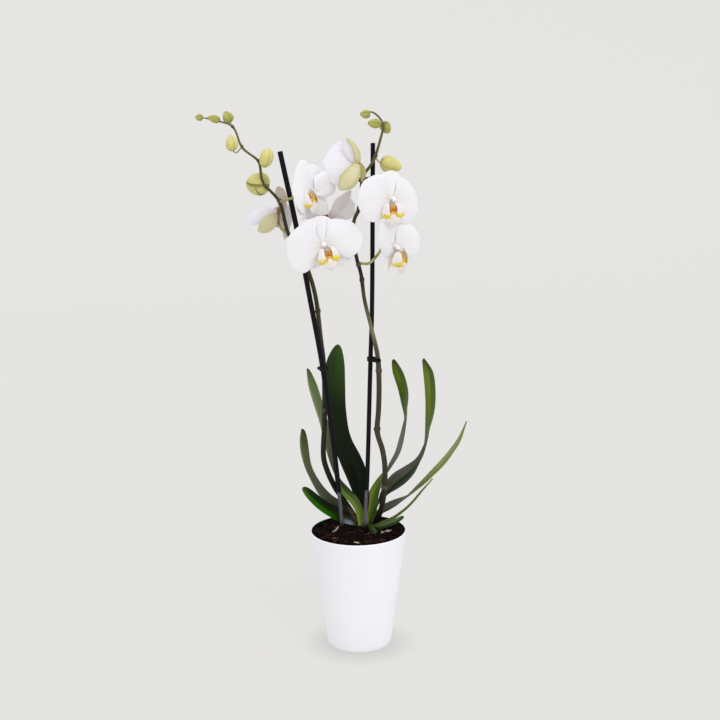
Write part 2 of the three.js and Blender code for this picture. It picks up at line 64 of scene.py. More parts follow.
# A number on its way through a material: working with it adds Math nodes.
class Flow:
    def __init__(self, paint, socket):
        self.paint = paint
        self.socket = socket

    def calc(self, operation, first, second=None):
        values = {0: first} if second is None else {0: first, 1: second}
        return self.paint.node("Math", {"operation": operation}, values)

    def __add__(self, other):
        return self.calc("ADD", self, other)

    def __radd__(self, other):
        return self.calc("ADD", other, self)

    def __sub__(self, other):
        return self.calc("SUBTRACT", self, other)

    def __rsub__(self, other):
        return self.calc("SUBTRACT", other, self)

    def __mul__(self, other):
        return self.calc("MULTIPLY", self, other)

    def __rmul__(self, other):
        return self.calc("MULTIPLY", other, self)

    def __truediv__(self, other):
        return self.calc("DIVIDE", self, other)

    def __pow__(self, other):
        return self.calc("POWER", self, other)

    def __abs__(self):
        return self.calc("ABSOLUTE", self)

    def wave(self):
        return self.calc("SINE", self)

    def between(self, low, high):
        settings = {"interpolation_type": "SMOOTHSTEP"}
        return self.paint.node("MapRange", settings, {"Value": self, "From Min": low, "From Max": high})


class Paint:
    def __init__(self, name, **sockets):
        self.material = bpy.data.materials.new(name)
        self.material.use_nodes = True
        self.tree = self.material.node_tree
        self.shader = self.tree.nodes["Principled BSDF"]
        self.set(sockets)

    def set(self, sockets):
        for key, value in sockets.items():
            self.feed(self.shader.inputs[key.replace("_", " ")], value)

    def feed(self, socket, value):
        if isinstance(value, Flow):
            self.tree.links.new(value.socket, socket)
        else:
            socket.default_value = tone(value) if socket.type == "RGBA" else value

    def node(self, kind, settings=None, values=None, output=0):
        made = self.tree.nodes.new("ShaderNode" + kind)
        for key, value in (settings or {}).items():
            if key == "stops":
                ramp = made.color_ramp
                while len(ramp.elements) < len(value):
                    ramp.elements.new(1)
                for element, (position, colour) in zip(ramp.elements, value):
                    element.position = position
                    element.color = tone(colour)
            else:
                setattr(made, key, value)
        for key, value in (values or {}).items():
            self.feed(made.inputs[key], value)
        return Flow(self, made.outputs[output])

    def mix(self, factor, first, second, blend="MIX"):
        settings = {"data_type": "RGBA", "blend_type": blend}
        return self.node("Mix", settings, {0: factor, 6: first, 7: second}, 2)

    def place(self, kind="Object"):
        return self.node("TexCoord", output=kind)

    def grain(self, scale, detail=3, vector=None, roughness=0.5):
        values = {"Vector": vector or self.place(), "Scale": scale, "Detail": detail, "Roughness": roughness}
        return self.node("TexNoise", values=values)

    # Grain with a scale for each axis, drawn out along the one with the least.
    def streaks(self, scale, detail, kind="Object", roughness=0.5):
        stretched = self.node("Mapping", values={"Vector": self.place(kind), "Scale": scale})
        return self.grain(1, detail, stretched, roughness)

    def axis(self, name, kind="Object"):
        return self.node("SeparateXYZ", values={"Vector": self.place(kind)}, output=name)

    def acrossAndAlong(self):
        return self.axis("X", "UV"), self.axis("Y", "UV")

    def attribute(self, name):
        return self.node("Attribute", {"attribute_name": name}, output="Fac")

    def ramp(self, factor, stops):
        return self.node("ValToRGB", {"stops": stops}, {"Fac": factor})

    def bump(self, height, strength, distance):
        values = {"Height": height, "Strength": strength, "Distance": distance}
        self.set({"Normal": self.node("Bump", values=values)})


# A smooth curve through stations of any length, with share 0 at the first and 1 at the last.
def curveAt(stations, share):
    last = len(stations) - 1
    place = min(max(share, 0), 1) * last
    index = min(int(place), last - 1)
    part = place - index
    here, after = stations[index], stations[index + 1]
    before = stations[index - 1] if index else [2 * a - b for a, b in zip(here, after)]
    beyond = stations[index + 2] if index + 2 <= last else [2 * b - a for a, b in zip(here, after)]
    result = []
    for a, b, c, d in zip(before, here, after, beyond):
        slopeIn, slopeOut = (c - a) / 2, (d - b) / 2
        square = -3 * b + 3 * c - 2 * slopeIn - slopeOut
        cube = 2 * b - 2 * c + slopeIn + slopeOut
        result.append(b + slopeIn * part + square * part ** 2 + cube * part ** 3)
    return result


# The value at a place on a table of (place, value) rows, straight between rows.
def stepped(rows, place):
    for (low, first), (high, second) in zip(rows, rows[1:]):
        if place < high:
            return mixed(first, second, max(0, (place - low) / (high - low)))
    return rows[-1][1]


def pointAt(stations, share):
    return Vector(curveAt([station[:3] for station in stations], share))


def headingAt(stations, share):
    step = 0.002
    return (pointAt(stations, min(share + step, 1)) - pointAt(stations, max(share - step, 0))).normalized()


# Points a given distance apart along the curve.
def evenly(stations, spacing):
    samples = 400
    fine = [pointAt(stations, i / samples) for i in range(samples + 1)]
    lengths = [0]
    for first, second in zip(fine, fine[1:]):
        lengths.append(lengths[-1] + (second - first).length)
    steps = max(2, round(lengths[-1] / spacing))
    points = []
    index = 0
    for i in range(steps + 1):
        wanted = lengths[-1] * i / steps
        while index < samples - 1 and lengths[index + 1] < wanted:
            index += 1
        span = lengths[index + 1] - lengths[index]
        points.append(fine[index].lerp(fine[index + 1], (wanted - lengths[index]) / span))
    return points


# A round skin along the points: a circle extruded from ring to ring. All lengths are in millimetres.
def tube(bm, points, radii, sides):
    def ring(index, turn):
        low, high = points[max(index - 1, 0)], points[min(index + 1, len(points) - 1)]
        heading = (high - low).normalized()
        turn = turn or heading.to_track_quat("Z", "Y")
        turn = (turn @ zAxis).rotation_difference(heading) @ turn
        scale = Matrix.Diagonal((radii[index], radii[index], 1, 1))
        return turn, Matrix.Translation(points[index]) @ turn.to_matrix().to_4x4() @ scale

    turn, place = ring(0, None)
    verts = bmesh.ops.create_circle(bm, cap_ends=True, segments=sides, radius=1, matrix=place)["verts"]
    edges = list({edge for vert in verts for edge in vert.link_edges})
    made = list(verts)
    for index in range(1, len(points)):
        earlier = place
        turn, place = ring(index, turn)
        grown = bmesh.ops.extrude_edge_only(bm, edges=edges)["geom"]
        verts = [part for part in grown if isinstance(part, bmesh.types.BMVert)]
        edges = [part for part in grown if isinstance(part, bmesh.types.BMEdge)]
        bmesh.ops.transform(bm, matrix=place @ earlier.inverted(), verts=verts)
        made += verts
    bmesh.ops.holes_fill(bm, edges=edges, sides=0)
    return made


# A grid of quads placed by surface(u, v), with u and v from 0 to 1 kept as its UV map.
def sheet(bm, across, along, surface, material=0):
    layer = bm.loops.layers.uv.verify()
    verts = bmesh.ops.create_grid(bm, x_segments=across, y_segments=along, size=0.5)["verts"]
    shares = {vert: (vert.co.x + 0.5, vert.co.y + 0.5) for vert in verts}
    faces = {face for vert in verts for face in vert.link_faces}
    for face in faces:
        face.material_index = material
        for loop in face.loops:
            loop[layer].uv = shares[loop.vert]
    for vert, (u, v) in shares.items():
        vert.co = surface(u, v)
    return verts


# An outline of radius and height rows, spun round the middle.
def spun(outline, steps, join):
    bm = bmesh.new()
    verts = [bm.verts.new((radius, 0, height)) for radius, height in outline]
    edges = [bm.edges.new(pair) for pair in zip(verts, verts[1:])]
    turn = {"cent": (0, 0, 0), "axis": (0, 0, 1), "angle": math.tau, "steps": steps, "use_merge": True}
    bmesh.ops.spin(bm, geom=verts + edges, **turn)
    bmesh.ops.remove_doubles(bm, verts=bm.verts, dist=join)
    return bm


def box(bm, size, centre):
    verts = bmesh.ops.create_cube(bm, size=1)["verts"]
    bmesh.ops.scale(bm, vec=size, verts=verts)
    bmesh.ops.translate(bm, vec=centre, verts=verts)


# A node's name as part of a piece's name.
def titled(words):
    return "".join(word.title() for word in words.split("_"))


# One object from the bmesh, with its paints. A leaf isn't recalculated, because each of its sides has a paint.
def finished(name, bm, node, paints, smooth=True, recalculate=True):
    if recalculate:
        bmesh.ops.recalc_face_normals(bm, faces=bm.faces)
    bmesh.ops.scale(bm, vec=(mm, mm, mm), verts=bm.verts)
    mesh = bpy.data.meshes.new(name)
    bm.to_mesh(mesh)
    bm.free()
    piece = bpy.data.objects.new(name, mesh)
    scene.collection.objects.link(piece)
    for paint in paints:
        mesh.materials.append(paint.material)
    for face in mesh.polygons:
        face.use_smooth = smooth
    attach(piece, "root")
    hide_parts(node)
    return piece


def thicken(piece, thickness, under=0, group=None, thinnest=0):
    modifier = piece.modifiers.new("thickness", "SOLIDIFY")
    modifier.thickness = thickness * mm
    modifier.offset = 0
    modifier.material_offset = under
    if group:
        modifier.vertex_group = group
        modifier.thickness_vertex_group = thinnest


def soften(piece):
    modifier = piece.modifiers.new("smooth", "SUBSURF")
    modifier.levels = modifier.render_levels = 1


def rounded(piece, width, segments=3):
    modifier = piece.modifiers.new("edges", "BEVEL")
    modifier.width = width * mm
    modifier.segments = segments
    modifier.limit_method = "ANGLE"


pot = {
    "height": 163, "rimRadius": 65, "baseRadius": 43, "wall": 2.0, "floor": 4, "edgeRadius": 6, "steps": 128,
    "footRing": [(0.01, 0.8), (22, 0.8), (24, 0), (33, 0)], "innerHeights": (150, 100, 50, 12), "corner": 8,
    "tones": [(250, 250, 255), (248, 248, 255)], "innerShadeTone": (14, 10, 10),
}


def potRadius(height):
    return mixed(pot["baseRadius"], pot["rimRadius"], height / pot["height"])


def potPaint():
    paint = Paint("potPlastic")
    x, y, z = (paint.axis(name) for name in "XYZ")
    slope = (pot["rimRadius"] - pot["baseRadius"]) / pot["height"]
    past = (x * x + y * y) ** 0.5 - slope * (z - pot["height"] * mm)  # the radius that this place has at the rim
    midWall = (pot["rimRadius"] - 1.5) * mm
    # Painted shade: the inner wall, from about 12 mm up, is painted near-black for the dark band where the bark meets
    # the wall.
    inner = past.between(midWall + 0.2 * mm, midWall - 0.2 * mm) * z.between(0.01, 0.012)
    white = paint.mix(paint.grain(14, 2).between(0.35, 0.7), *pot["tones"])
    paint.set({"Base Color": paint.mix(inner, white, pot["innerShadeTone"])})
    paint.set({"Roughness": 0.36 + 0.14 * paint.grain(60, 4)})
    paint.bump(paint.grain(900, 2), 0.05, 0.0004)
    return paint


def makePot():
    edge, lip, rounding = pot["edgeRadius"], pot["wall"] / 2, 8
    outline = list(pot["footRing"])
    for i in range(rounding + 1):
        angle = math.pi / 2 * i / rounding
        height = edge * (1 - math.cos(angle))
        outline.append((potRadius(height) - edge * (1 - math.sin(angle)), height))
    outline += [(potRadius(height), height) for height in range(14, 160, 12)]
    for i in range(rounding + 1):
        angle = math.pi * i / rounding
        outline.append((pot["rimRadius"] - lip + lip * math.cos(angle), pot["height"] - lip * (1 - math.sin(angle))))
    outline += [(potRadius(height) - pot["wall"] - 0.1, height) for height in pot["innerHeights"]]
    outline += [(potRadius(pot["corner"]) - 6, pot["floor"]), (0.01, pot["floor"])]
    finished("potWhite", spun(outline, pot["steps"], 0.02), "pot", [potPaint()])


makePot()
print("pot made")

bark = {
    "seed": 41, "height": 161.2, "mound": 1.6, "reach": 61.9, "bedDepth": 2.4, "bedTone": 0.15,
    "chips": 430, "chipLength": (6, 15), "chipRise": (-2.6, 0.7), "tilt": 0.35, "corners": 0.86, "jitter": 0.09,
    "crumbs": 520, "crumbLength": (2, 4.5), "crumbRise": (-1.4, 0.9), "widths": (0.35, 0.8), "heights": (0.16, 0.34),
    "tones": [(0, (10, 6, 5)), (0.6, (22, 11, 8)), (0.88, (36, 18, 13)), (1, (76, 38, 29))],
    "worn": (70, 38, 28), "cracks": (5, 3, 3),
}
# Pale bits of root and dry leaf that lie on the bark: x, y, length, width, turn in degrees and tone.
pale = {
    "seed": 7, "thickness": 1.6, "lean": 0.25, "rise": 0.9, "spots": (96, 64, 48),
    "bits": [
        (-28, 7, 15, 3.8, 70, (176, 140, 128)), (-32, -6, 14, 3.4, 64, (172, 156, 138)),
        (-2.5, -51, 8.5, 4, -24, (186, 182, 156)), (29, -14, 10, 8, 12, (166, 160, 130)),
        (40, -7, 10, 9, -30, (184, 176, 156)), (20, -24, 6, 3.4, 40, (140, 110, 80)),
        (-32, -34, 7, 2.2, 12, (120, 66, 48)), (8, -24, 8, 2.2, 66, (112, 58, 42)),
    ],
}


def barkLevel(x, y):
    share = math.hypot(x, y) / bark["reach"]
    return bark["height"] + bark["mound"] * (1 - min(share, 1) ** 2)


# One broken chip, made on its own and then added to the rest.
def chip(bm, chance, size, place, turn, value):
    lump = bmesh.new()
    tones = lump.verts.layers.float.new("tone")
    jitter = bark["jitter"]
    bmesh.ops.create_cube(lump, size=1)
    bmesh.ops.subdivide_edges(lump, edges=lump.edges, cuts=1, use_grid_fill=True)
    for vert in lump.verts:
        vert.co *= bark["corners"] if vert.co.length > 0.8 else 1
        vert.co += Vector([chance.uniform(-jitter, jitter) for axis in "XYZ"])
        vert[tones] = value
    matrix = Matrix.Translation(place) @ turn.to_matrix().to_4x4() @ Matrix.Diagonal((*size, 1))
    bmesh.ops.transform(lump, matrix=matrix, verts=lump.verts)
    mesh = bpy.data.meshes.new("lump")
    lump.to_mesh(mesh)
    lump.free()
    bm.from_mesh(mesh)
    bpy.data.meshes.remove(mesh)


def barkPaint():
    paint = Paint("barkBrown", Specular_IOR_Level=0.08)
    fibres = paint.streaks((180, 900, 900), 5, roughness=0.65)
    body = paint.ramp(paint.attribute("tone"), bark["tones"])
    body = paint.mix(fibres.between(0.55, 0.8) * 0.4, body, bark["worn"])
    body = paint.mix(fibres.between(0.5, 0.2) * 0.6, body, bark["cracks"])
    paint.set({"Base Color": body, "Roughness": 0.62 + 0.3 * fibres})
    paint.bump(fibres, 0.5, 0.0006)
    return paint


def makeBark():
    chance = random.Random(bark["seed"])
    bm = bmesh.new()
    tones = bm.verts.layers.float.new("tone")

    def bed(u, v):
        angle, radius = math.tau * u, bark["reach"] * v
        x, y = radius * math.cos(angle), radius * math.sin(angle)
        rough = 1.6 * noise.noise(Vector((x, y, 3)) * 0.16) + 0.9 * noise.noise(Vector((x, y, 9)) * 0.5)
        return Vector((x, y, barkLevel(x, y) - bark["bedDepth"] + rough * (1 - 0.5 * v)))

    for vert in sheet(bm, 96, 30, bed):
        vert[tones] = bark["bedTone"]
    bmesh.ops.remove_doubles(bm, verts=bm.verts, dist=0.01)
    for i in range(bark["chips"] + bark["crumbs"]):
        small = i >= bark["chips"]
        length = chance.uniform(*bark["crumbLength" if small else "chipLength"])
        size = (length, length * chance.uniform(*bark["widths"]), length * chance.uniform(*bark["heights"]))
        radius = (bark["reach"] - 1 - length / 2) * math.sqrt(chance.random())
        angle = chance.uniform(0, math.tau)
        x, y = radius * math.cos(angle), radius * math.sin(angle)
        rise = chance.uniform(*bark["crumbRise" if small else "chipRise"])
        turn = Matrix.Rotation(chance.uniform(0, math.tau), 3, "Z")
        for way in "XY":
            turn = turn @ Matrix.Rotation(chance.gauss(0, bark["tilt"]), 3, way)
        place = Vector((x, y, barkLevel(x, y) + rise - size[2] * 0.2))
        chip(bm, chance, size, place, turn.to_quaternion(), min(1, chance.random() ** 1.7 + 0.05))
    finished("barkChips", bm, "bark", [barkPaint()], smooth=False)


def makePaleBits():
    chance = random.Random(pale["seed"])
    for index, (x, y, length, width, degrees, colour) in enumerate(pale["bits"]):
        bm = bmesh.new()
        lean = Matrix.Rotation(chance.uniform(-pale["lean"], pale["lean"]), 3, "Y")
        turn = Matrix.Rotation(math.radians(degrees), 3, "Z") @ lean
        place = Vector((x, y, barkLevel(x, y) + pale["rise"]))
        chip(bm, chance, (length, width, pale["thickness"]), place, turn.to_quaternion(), 1)
        paint = Paint(f"paleBit{index}", Roughness=0.8)
        spots = paint.grain(500, 4)
        paint.set({"Base Color": paint.mix(spots.between(0.4, 0.75), colour, pale["spots"])})
        paint.bump(spots, 0.4, 0.0004)
        soften(finished(f"paleBit{index}", bm, "bark", [paint]))


makeBark()
makePaleBits()
print("bark made")

stakes = {
    "left": [
        (-22, 12, 110), (-22, 12, 160), (-31, 8, 272), (-45, 6, 390), (-59.4, 4, 479), (-75.3, 3, 575),
        (-94.4, 3, 673)],
    "right": [(8, 6, 110), (8, 6, 160), (13, 6, 235), (19, 7, 397), (22, 7, 478), (25, 8, 682)],
    "radius": {"left": 3.4, "right": 3.0}, "greyRadius": 2.5, "greyBelow": {"left": 213, "right": 217},
    "shadeBelow": 170, "black": [(12, 9, 16), (26, 21, 31)], "grey": [(84, 79, 92), (112, 106, 118)],
    "shadedFoot": (30, 26, 32),
}
# Each clip grips a stake and a stem, with its tabs in line with the two or, at the left one, square to them.
clips = {
    "left": {"stake": (-44.5, 6, 386), "stem": (-44.5, 13.7, 386), "tabs": "square"},
    "right": {"stake": (19, 7, 398.5), "stem": (27, -0.5, 398.5), "leftTab": 1.6},
    "top": {"stake": (24.2, 7.8, 636), "stem": (11, -1.5, 636)},
}
clipShape = {
    "grip": 3.5, "wall": 1.1, "height": 5.5, "tab": 3.4, "tabThickness": 1.3, "tabHeight": 0.75,
    "tones": [(12, 11, 14), (34, 32, 38)],
}


def stakePaint(side):
    paint = Paint(f"stakeBlack{side.title()}", Specular_IOR_Level=0.12)
    height = paint.axis("Z")
    streaks = paint.streaks((500, 500, 14), 4)
    black = paint.mix(streaks.between(0.45, 0.75), *stakes["black"])
    grey = paint.mix(streaks.between(0.35, 0.7), *stakes["grey"])
    edge, shadeLine = stakes["greyBelow"][side] * mm, stakes["shadeBelow"] * mm
    body = paint.mix((height + 0.002 * streaks).between(edge + 0.002, edge), black, grey)
    # Painted shade: below this height the stake's foot is darkened, just above the bark.
    foot = height.between(shadeLine + 0.004, shadeLine - 0.004)
    body = paint.mix(foot * 0.8, body, stakes["shadedFoot"])
    paint.set({"Base Color": body, "Roughness": 0.3 + 0.25 * streaks})
    paint.bump(streaks, 0.12, 0.0004)
    return paint


def makeStakes():
    for side in ("left", "right"):
        points = evenly(stakes[side], 3)
        edge = stakes["greyBelow"][side]
        grey, black = stakes["greyRadius"], stakes["radius"][side]
        radii = [mixed(grey, black, eased(point.z, edge - 2, edge + 1)) for point in points]
        bm = bmesh.new()
        tube(bm, points, radii, 20)
        piece = finished(f"stake{side.title()}", bm, f"stake_{side}", [stakePaint(side)])
        rounded(piece, 0.7)


def clipPaint():
    paint = Paint("clipBlack", Specular_IOR_Level=0.15)
    scuffs = paint.grain(320, 4)
    body = paint.mix(scuffs.between(0.5, 0.8), *clipShape["tones"])
    paint.set({"Base Color": body, "Roughness": 0.32 + 0.25 * scuffs})
    paint.bump(scuffs, 0.15, 0.0003)
    return paint


# Half of the band: an arc round the stake or the stem.
def clipJaw(bm, centre, start, stop):
    inside, outside = clipShape["grip"], clipShape["grip"] + clipShape["wall"]
    angles = [math.radians(mixed(start, stop, i / 20)) for i in range(21)]
    inner = [Vector((centre + inside * math.cos(a), inside * math.sin(a), 0)) for a in angles]
    outer = [Vector((centre + outside * math.cos(a), outside * math.sin(a), 0)) for a in angles]
    face = bm.faces.new([bm.verts.new(co) for co in inner + outer[::-1]])
    grown = bmesh.ops.extrude_face_region(bm, geom=[face])["geom"]
    upper = [part for part in grown if isinstance(part, bmesh.types.BMVert)]
    bmesh.ops.translate(bm, vec=(0, 0, clipShape["height"]), verts=upper)


# A two-jawed plant clip: a band round the stake and the stem, and two finger tabs.
def makeClips():
    paint = clipPaint()
    grip, wall, high, thick = (clipShape[key] for key in ("grip", "wall", "height", "tabThickness"))
    joint, middle, tall = grip + wall / 2, high / 2, high * clipShape["tabHeight"]
    for name, spec in clips.items():
        stake, stem = Vector(spec["stake"]), Vector(spec["stem"])
        spacing, tilt = (stem - stake).length, math.atan2(stem.y - stake.y, stem.x - stake.x)
        bm = bmesh.new()
        clipJaw(bm, 0, 76, 284)
        clipJaw(bm, spacing, -104, 104)
        for y in (joint, -joint):
            box(bm, (spacing - 1.2, wall, high * 0.92), (spacing / 2, y, middle))
        for sign in (-1, 1):
            reach = spec.get("leftTab", clipShape["tab"]) if sign < 0 else clipShape["tab"]
            if "tabs" in spec:
                box(bm, (thick, reach, tall), (spacing / 2, sign * (joint + reach / 2 - 0.2), middle))
            else:
                where = spacing / 2 + sign * (spacing / 2 + grip + wall + reach / 2 - 0.5)
                box(bm, (reach, thick, tall), (where, 0, middle))
        matrix = Matrix.Translation(stake - zAxis * middle) @ Matrix.Rotation(tilt, 4, "Z")
        bmesh.ops.transform(bm, matrix=matrix, verts=bm.verts)
        piece = finished(f"clip{name.title()}", bm, f"clip_{name}", [paint], smooth=False)
        rounded(piece, 0.25, 2)


makeStakes()
makeClips()
print("stakes and clips made")

# Each flower stands on the node of a spike, by way of any via points, and faces its azimuth and elevation.
# A petal's outline is rows of angle from its midline and reach, from the lower edge round to the upper one.
# The dorsal and lateral sepals are angle, length and width.
# The three flowers seen from behind have their petals and sepals as strips instead, each with the name of
# its tones and stations of x, y, z, width and, where it turns, turn.
flowers = {
    "flower_front": {
        "spike": "left", "node": (-65, 11.3, 527), "centre": (-39, -28, 557), "azimuth": 0, "elevation": 0,
        "roll": 6, "size": 1.02, "open": 90,
        "petals": [
            {"angle": 176, "waist": 0.5, "outline": [
                (-62, 24), (-60, 34), (-55, 42.5), (-48, 47.7), (-34, 49.7), (-20, 49.1), (-6, 48), (7, 47.4),
                (22, 43.4), (38, 38.8), (58, 36.5), (72, 35), (82, 29.5)]},
            {"angle": 4, "waist": 0.2, "outline": [
                (-49, 20), (-46, 28), (-41, 35), (-30, 41.1), (-20, 45.6), (-10, 48.7), (-1, 50.4), (10, 49.5),
                (23, 46.3), (37, 40.8), (56, 34.5), (66, 31.7), (74, 27.9)]},
        ],
        "dorsal": (94, 35.5, 34), "laterals": [(-46, 43, 29), (-134, 41, 29)],
        "lip": {"turn": 14, "tilt": 6, "size": 1.06},
    },
    "flower_back_left": {
        "spike": "left", "node": (-87, 10, 568), "via": [(-94, 10.5, 571), (-99, 12, 581)],
        "centre": (-100, 19, 600), "azimuth": -150, "elevation": -18, "roll": 4, "size": 0.9, "lip": {"size": 0.9},
        "petalStrips": [
            ("petalLilac", [
                (-102, 16, 592.5, 5), (-110, 15, 594, 13), (-120, 14, 591.5, 20), (-131, 14, 585.5, 18),
                (-141, 15, 577, 6)]),
            ("petalGrey", [
                (-99.8, 20, 590.8, 5), (-91.8, 22, 600.9, 9), (-86.8, 23, 592.9, 10.5),
                (-86.4, 23, 581.1, 9.2), (-87.3, 22, 568.1, 4)]),
        ],
        "sepalStrips": [
            ("sepalTan", [
                (-101.1, 10, 591.9, 5), (-106.1, 4, 586.8, 17), (-111.9, 1, 580.7, 21), (-118.5, 0, 575.1, 17),
                (-125.9, 2, 571, 5)]),
            ("sepalDusk", [
                (-97, 17, 592.4, 4), (-94, 17, 601, 10), (-94.6, 18, 611, 14.5), (-96.8, 19, 620, 13),
                (-98.8, 20, 626.8, 7)]),
            ("sepalPink", [
                (-99.8, 20, 589.5, 4), (-93.5, 20, 578.9, 8), (-90.4, 18, 568.6, 8.5), (-91.9, 17, 557.6, 4)]),
        ],
    },
    "flower_upper_left": {
        "spike": "left", "node": (-96, 9, 608),
        "via": [(-89, -0.5, 610.8), (-83.8, -3.5, 612.6), (-74.8, -6, 614.9), (-64, -4, 617)],
        "centre": (-54, -12, 619), "azimuth": 48, "elevation": 0, "roll": 4, "size": 0.95, "open": 82,
        "petals": [
            {"angle": 176, "waist": 0.1, "outline": [
                (-62, 24), (-54, 32), (-29, 35.2), (-7, 40.9), (12, 44.4), (28, 46.6), (39, 48.6), (53, 51),
                (66, 52), (77, 47.5), (79, 40), (74, 32)]},
            {"angle": 4, "waist": 0.08, "outline": [
                (-30, 16), (-25, 23), (-19, 29.6), (-8, 39.6), (5, 43.4), (19, 42.7), (35, 40.2), (47, 36.9),
                (57, 30.5), (76, 21)]},
        ],
        "dorsal": (74, 40, 46), "laterals": [(-46, 42, 29), (-134, 42, 29)],
        "lip": {"tilt": 16, "size": 1.15, "shift": (-16, 11, -4), "deep": 1.2},
    },
    "flower_lower_right": {
        "spike": "right", "node": (6.3, -2, 528), "via": [(18, -3, 527.5), (29, -4, 538), (39.2, -4.8, 552.5)],
        "centre": (50, -14, 550), "azimuth": 45, "elevation": -15, "roll": -4, "size": 0.92, "open": 74,
        "petals": [
            {"angle": 176, "open": 90, "waist": 0.05, "outline": [
                (-83, 15), (-72, 18.9), (-39, 20.8), (-10, 26.4), (4, 34.3), (22, 44.5), (34, 51.4), (46, 49.2),
                (54, 43.4), (59, 36.2), (62, 27)]},
            {"angle": 4, "waist": 0.08, "outline": [
                (-31, 16), (-30, 25), (-28, 33), (-21, 39.2), (-10, 42.4), (4, 42.9), (26, 41.9), (48, 40.4),
                (69, 38.7), (83, 35.6), (92, 30.2), (97, 22.9)]},
        ],
        "dorsal": (103, 40, 28), "laterals": [(-46, 38, 27), (-106, 43, 15)],
        "lip": {"turn": 8, "tilt": 14, "size": 1.25, "shift": (0, 4, 0), "deep": 1.3},
    },
    "flower_back": {
        "spike": "right", "node": (-2, -2, 566), "centre": (-35, 28, 588), "azimuth": 170, "elevation": 8,
        "roll": 43, "size": 0.95, "lip": {"size": 0.9},
        "petalStrips": [
            ("petalGrey", [
                (-32, 27, 586.6, 5), (-22.8, 29, 590.8, 24), (-13.5, 29, 596.6, 33), (-5.6, 28, 600.6, 27),
                (0.4, 27, 603.2, 9)]),
            ("petalGrey", [
                (-33.3, 28, 586.5, 5), (-43.8, 31, 592.2, 24), (-55.6, 32, 597.5, 34), (-67.3, 32, 600.9, 29),
                (-75.1, 31, 602.4, 8)]),
        ],
        "sepalStrips": [
            ("sepalRose", [
                (-32.6, 24, 584.9, 5), (-26.6, 21, 593.1, 10.5), (-18.6, 20, 602.9, 11.7),
                (-10.6, 20, 611.9, 11.1), (-4, 21, 620.2, 5.2)]),
            ("sepalRose", [
                (-32, 26, 585.4, 5), (-21.6, 26, 578.7, 18), (-13.9, 26, 568, 19.7), (-8.8, 27, 556, 6.6)]),
            ("sepalRose", [
                (-33.3, 26, 585.4, 5), (-41.3, 26, 576.3, 17), (-49.4, 26, 565.8, 19.7), (-57.6, 27, 553.9, 6.6)]),
        ],
    },
    "flower_upper_right": {
        "spike": "right", "node": (6, -2, 598), "centre": (47, -34, 614), "azimuth": 30, "elevation": -6,
        "roll": 2, "size": 0.96, "open": 98,
        "petals": [
            {"angle": 176, "waist": 0, "outline": [
                (-64, 24), (-60, 34), (-50, 40.4), (-32, 44.2), (-14, 46.9), (-1, 47.8), (11, 48), (28, 48),
                (42, 43.7), (59, 38), (66, 30.4)]},
            {"angle": 4, "waist": 0.1, "outline": [
                (-75, 24), (-70, 34), (-62, 43.5), (-47, 50.7), (-31, 51.4), (-20, 48), (-7, 44.4), (7, 40.1),
                (23, 36.2), (43, 33.1), (58, 31.4), (70, 25.5)]},
        ],
        "dorsal": (93, 37.5, 36), "laterals": [(-46, 40, 28), (-130, 40, 28)],
        "lip": {"turn": -22, "tilt": 4, "size": 1.12, "shift": (0, 1, 0)},
    },
    "flower_half_open": {
        "spike": "right", "node": (11, -2, 640), "via": [(11, -1, 647), (9.5, 1, 653)],
        "centre": (6, 6, 656), "azimuth": -112, "elevation": 8, "roll": -12, "size": 0.9,
        "lip": {"size": 0.8, "shift": (0, 4, 0)},
        "petalStrips": [
            ("petalShaded", [
                (3, 3, 656.2, 5, 12), (-4.7, 4, 657.9, 40, 12), (-16.4, 5, 656.3, 60, 14), (-28, 6, 656, 50, 16),
                (-35.8, 7, 656.1, 32, 18), (-40.6, 8, 656.3, 16, 18)]),
            ("petalShaded", [
                (3.7, 0, 656.9, 5, 0), (-1, 0, 667, 15, 0), (-6, 0, 678, 17, -5), (-12.5, 1, 688.5, 7, -8)]),
        ],
        "sepalStrips": [
            ("sepalGreen", [
                (5, -2, 657.1, 6, 0), (5, -5, 666, 8.4, 0), (2.9, -6, 674.5, 7.6, -8), (-2.2, -5, 683, 5.6, -12),
                (-10, -3, 689.4, 3, -12)]),
            ("sepalGreen", [
                (5.6, -4, 656.7, 8), (1, -9, 648.3, 18), (-4.9, -12, 639.1, 23.6), (-12, -12, 630.9, 19.2),
                (-19.2, -9, 623.7, 6.4)]),
            ("sepalOlive", [
                (6.2, 0, 656.5, 5), (10.2, -4, 651.6, 7.5), (12, -7, 643.5, 7.5), (10, -8, 633.4, 4)]),
        ],
    },
}
hubLength = 4.5


def facing(spec):
    turn, rise = math.radians(spec["azimuth"]), math.radians(spec["elevation"])
    return Vector((math.sin(turn) * math.cos(rise), -math.cos(turn) * math.cos(rise), math.sin(rise)))


# From a flower's own frame, X right, Y up and Z ahead, to the plant's.
def flowerPlace(spec):
    ahead, turn = facing(spec), math.radians(spec["azimuth"])
    right = Matrix.Rotation(math.radians(spec["roll"]), 3, ahead) @ Vector((math.cos(turn), math.sin(turn), 0))
    up = ahead.cross(right)
    matrix = Matrix((right, up, ahead)).transposed() * spec["size"]
    return Matrix.Translation(Vector(spec["centre"])) @ matrix.to_4x4()


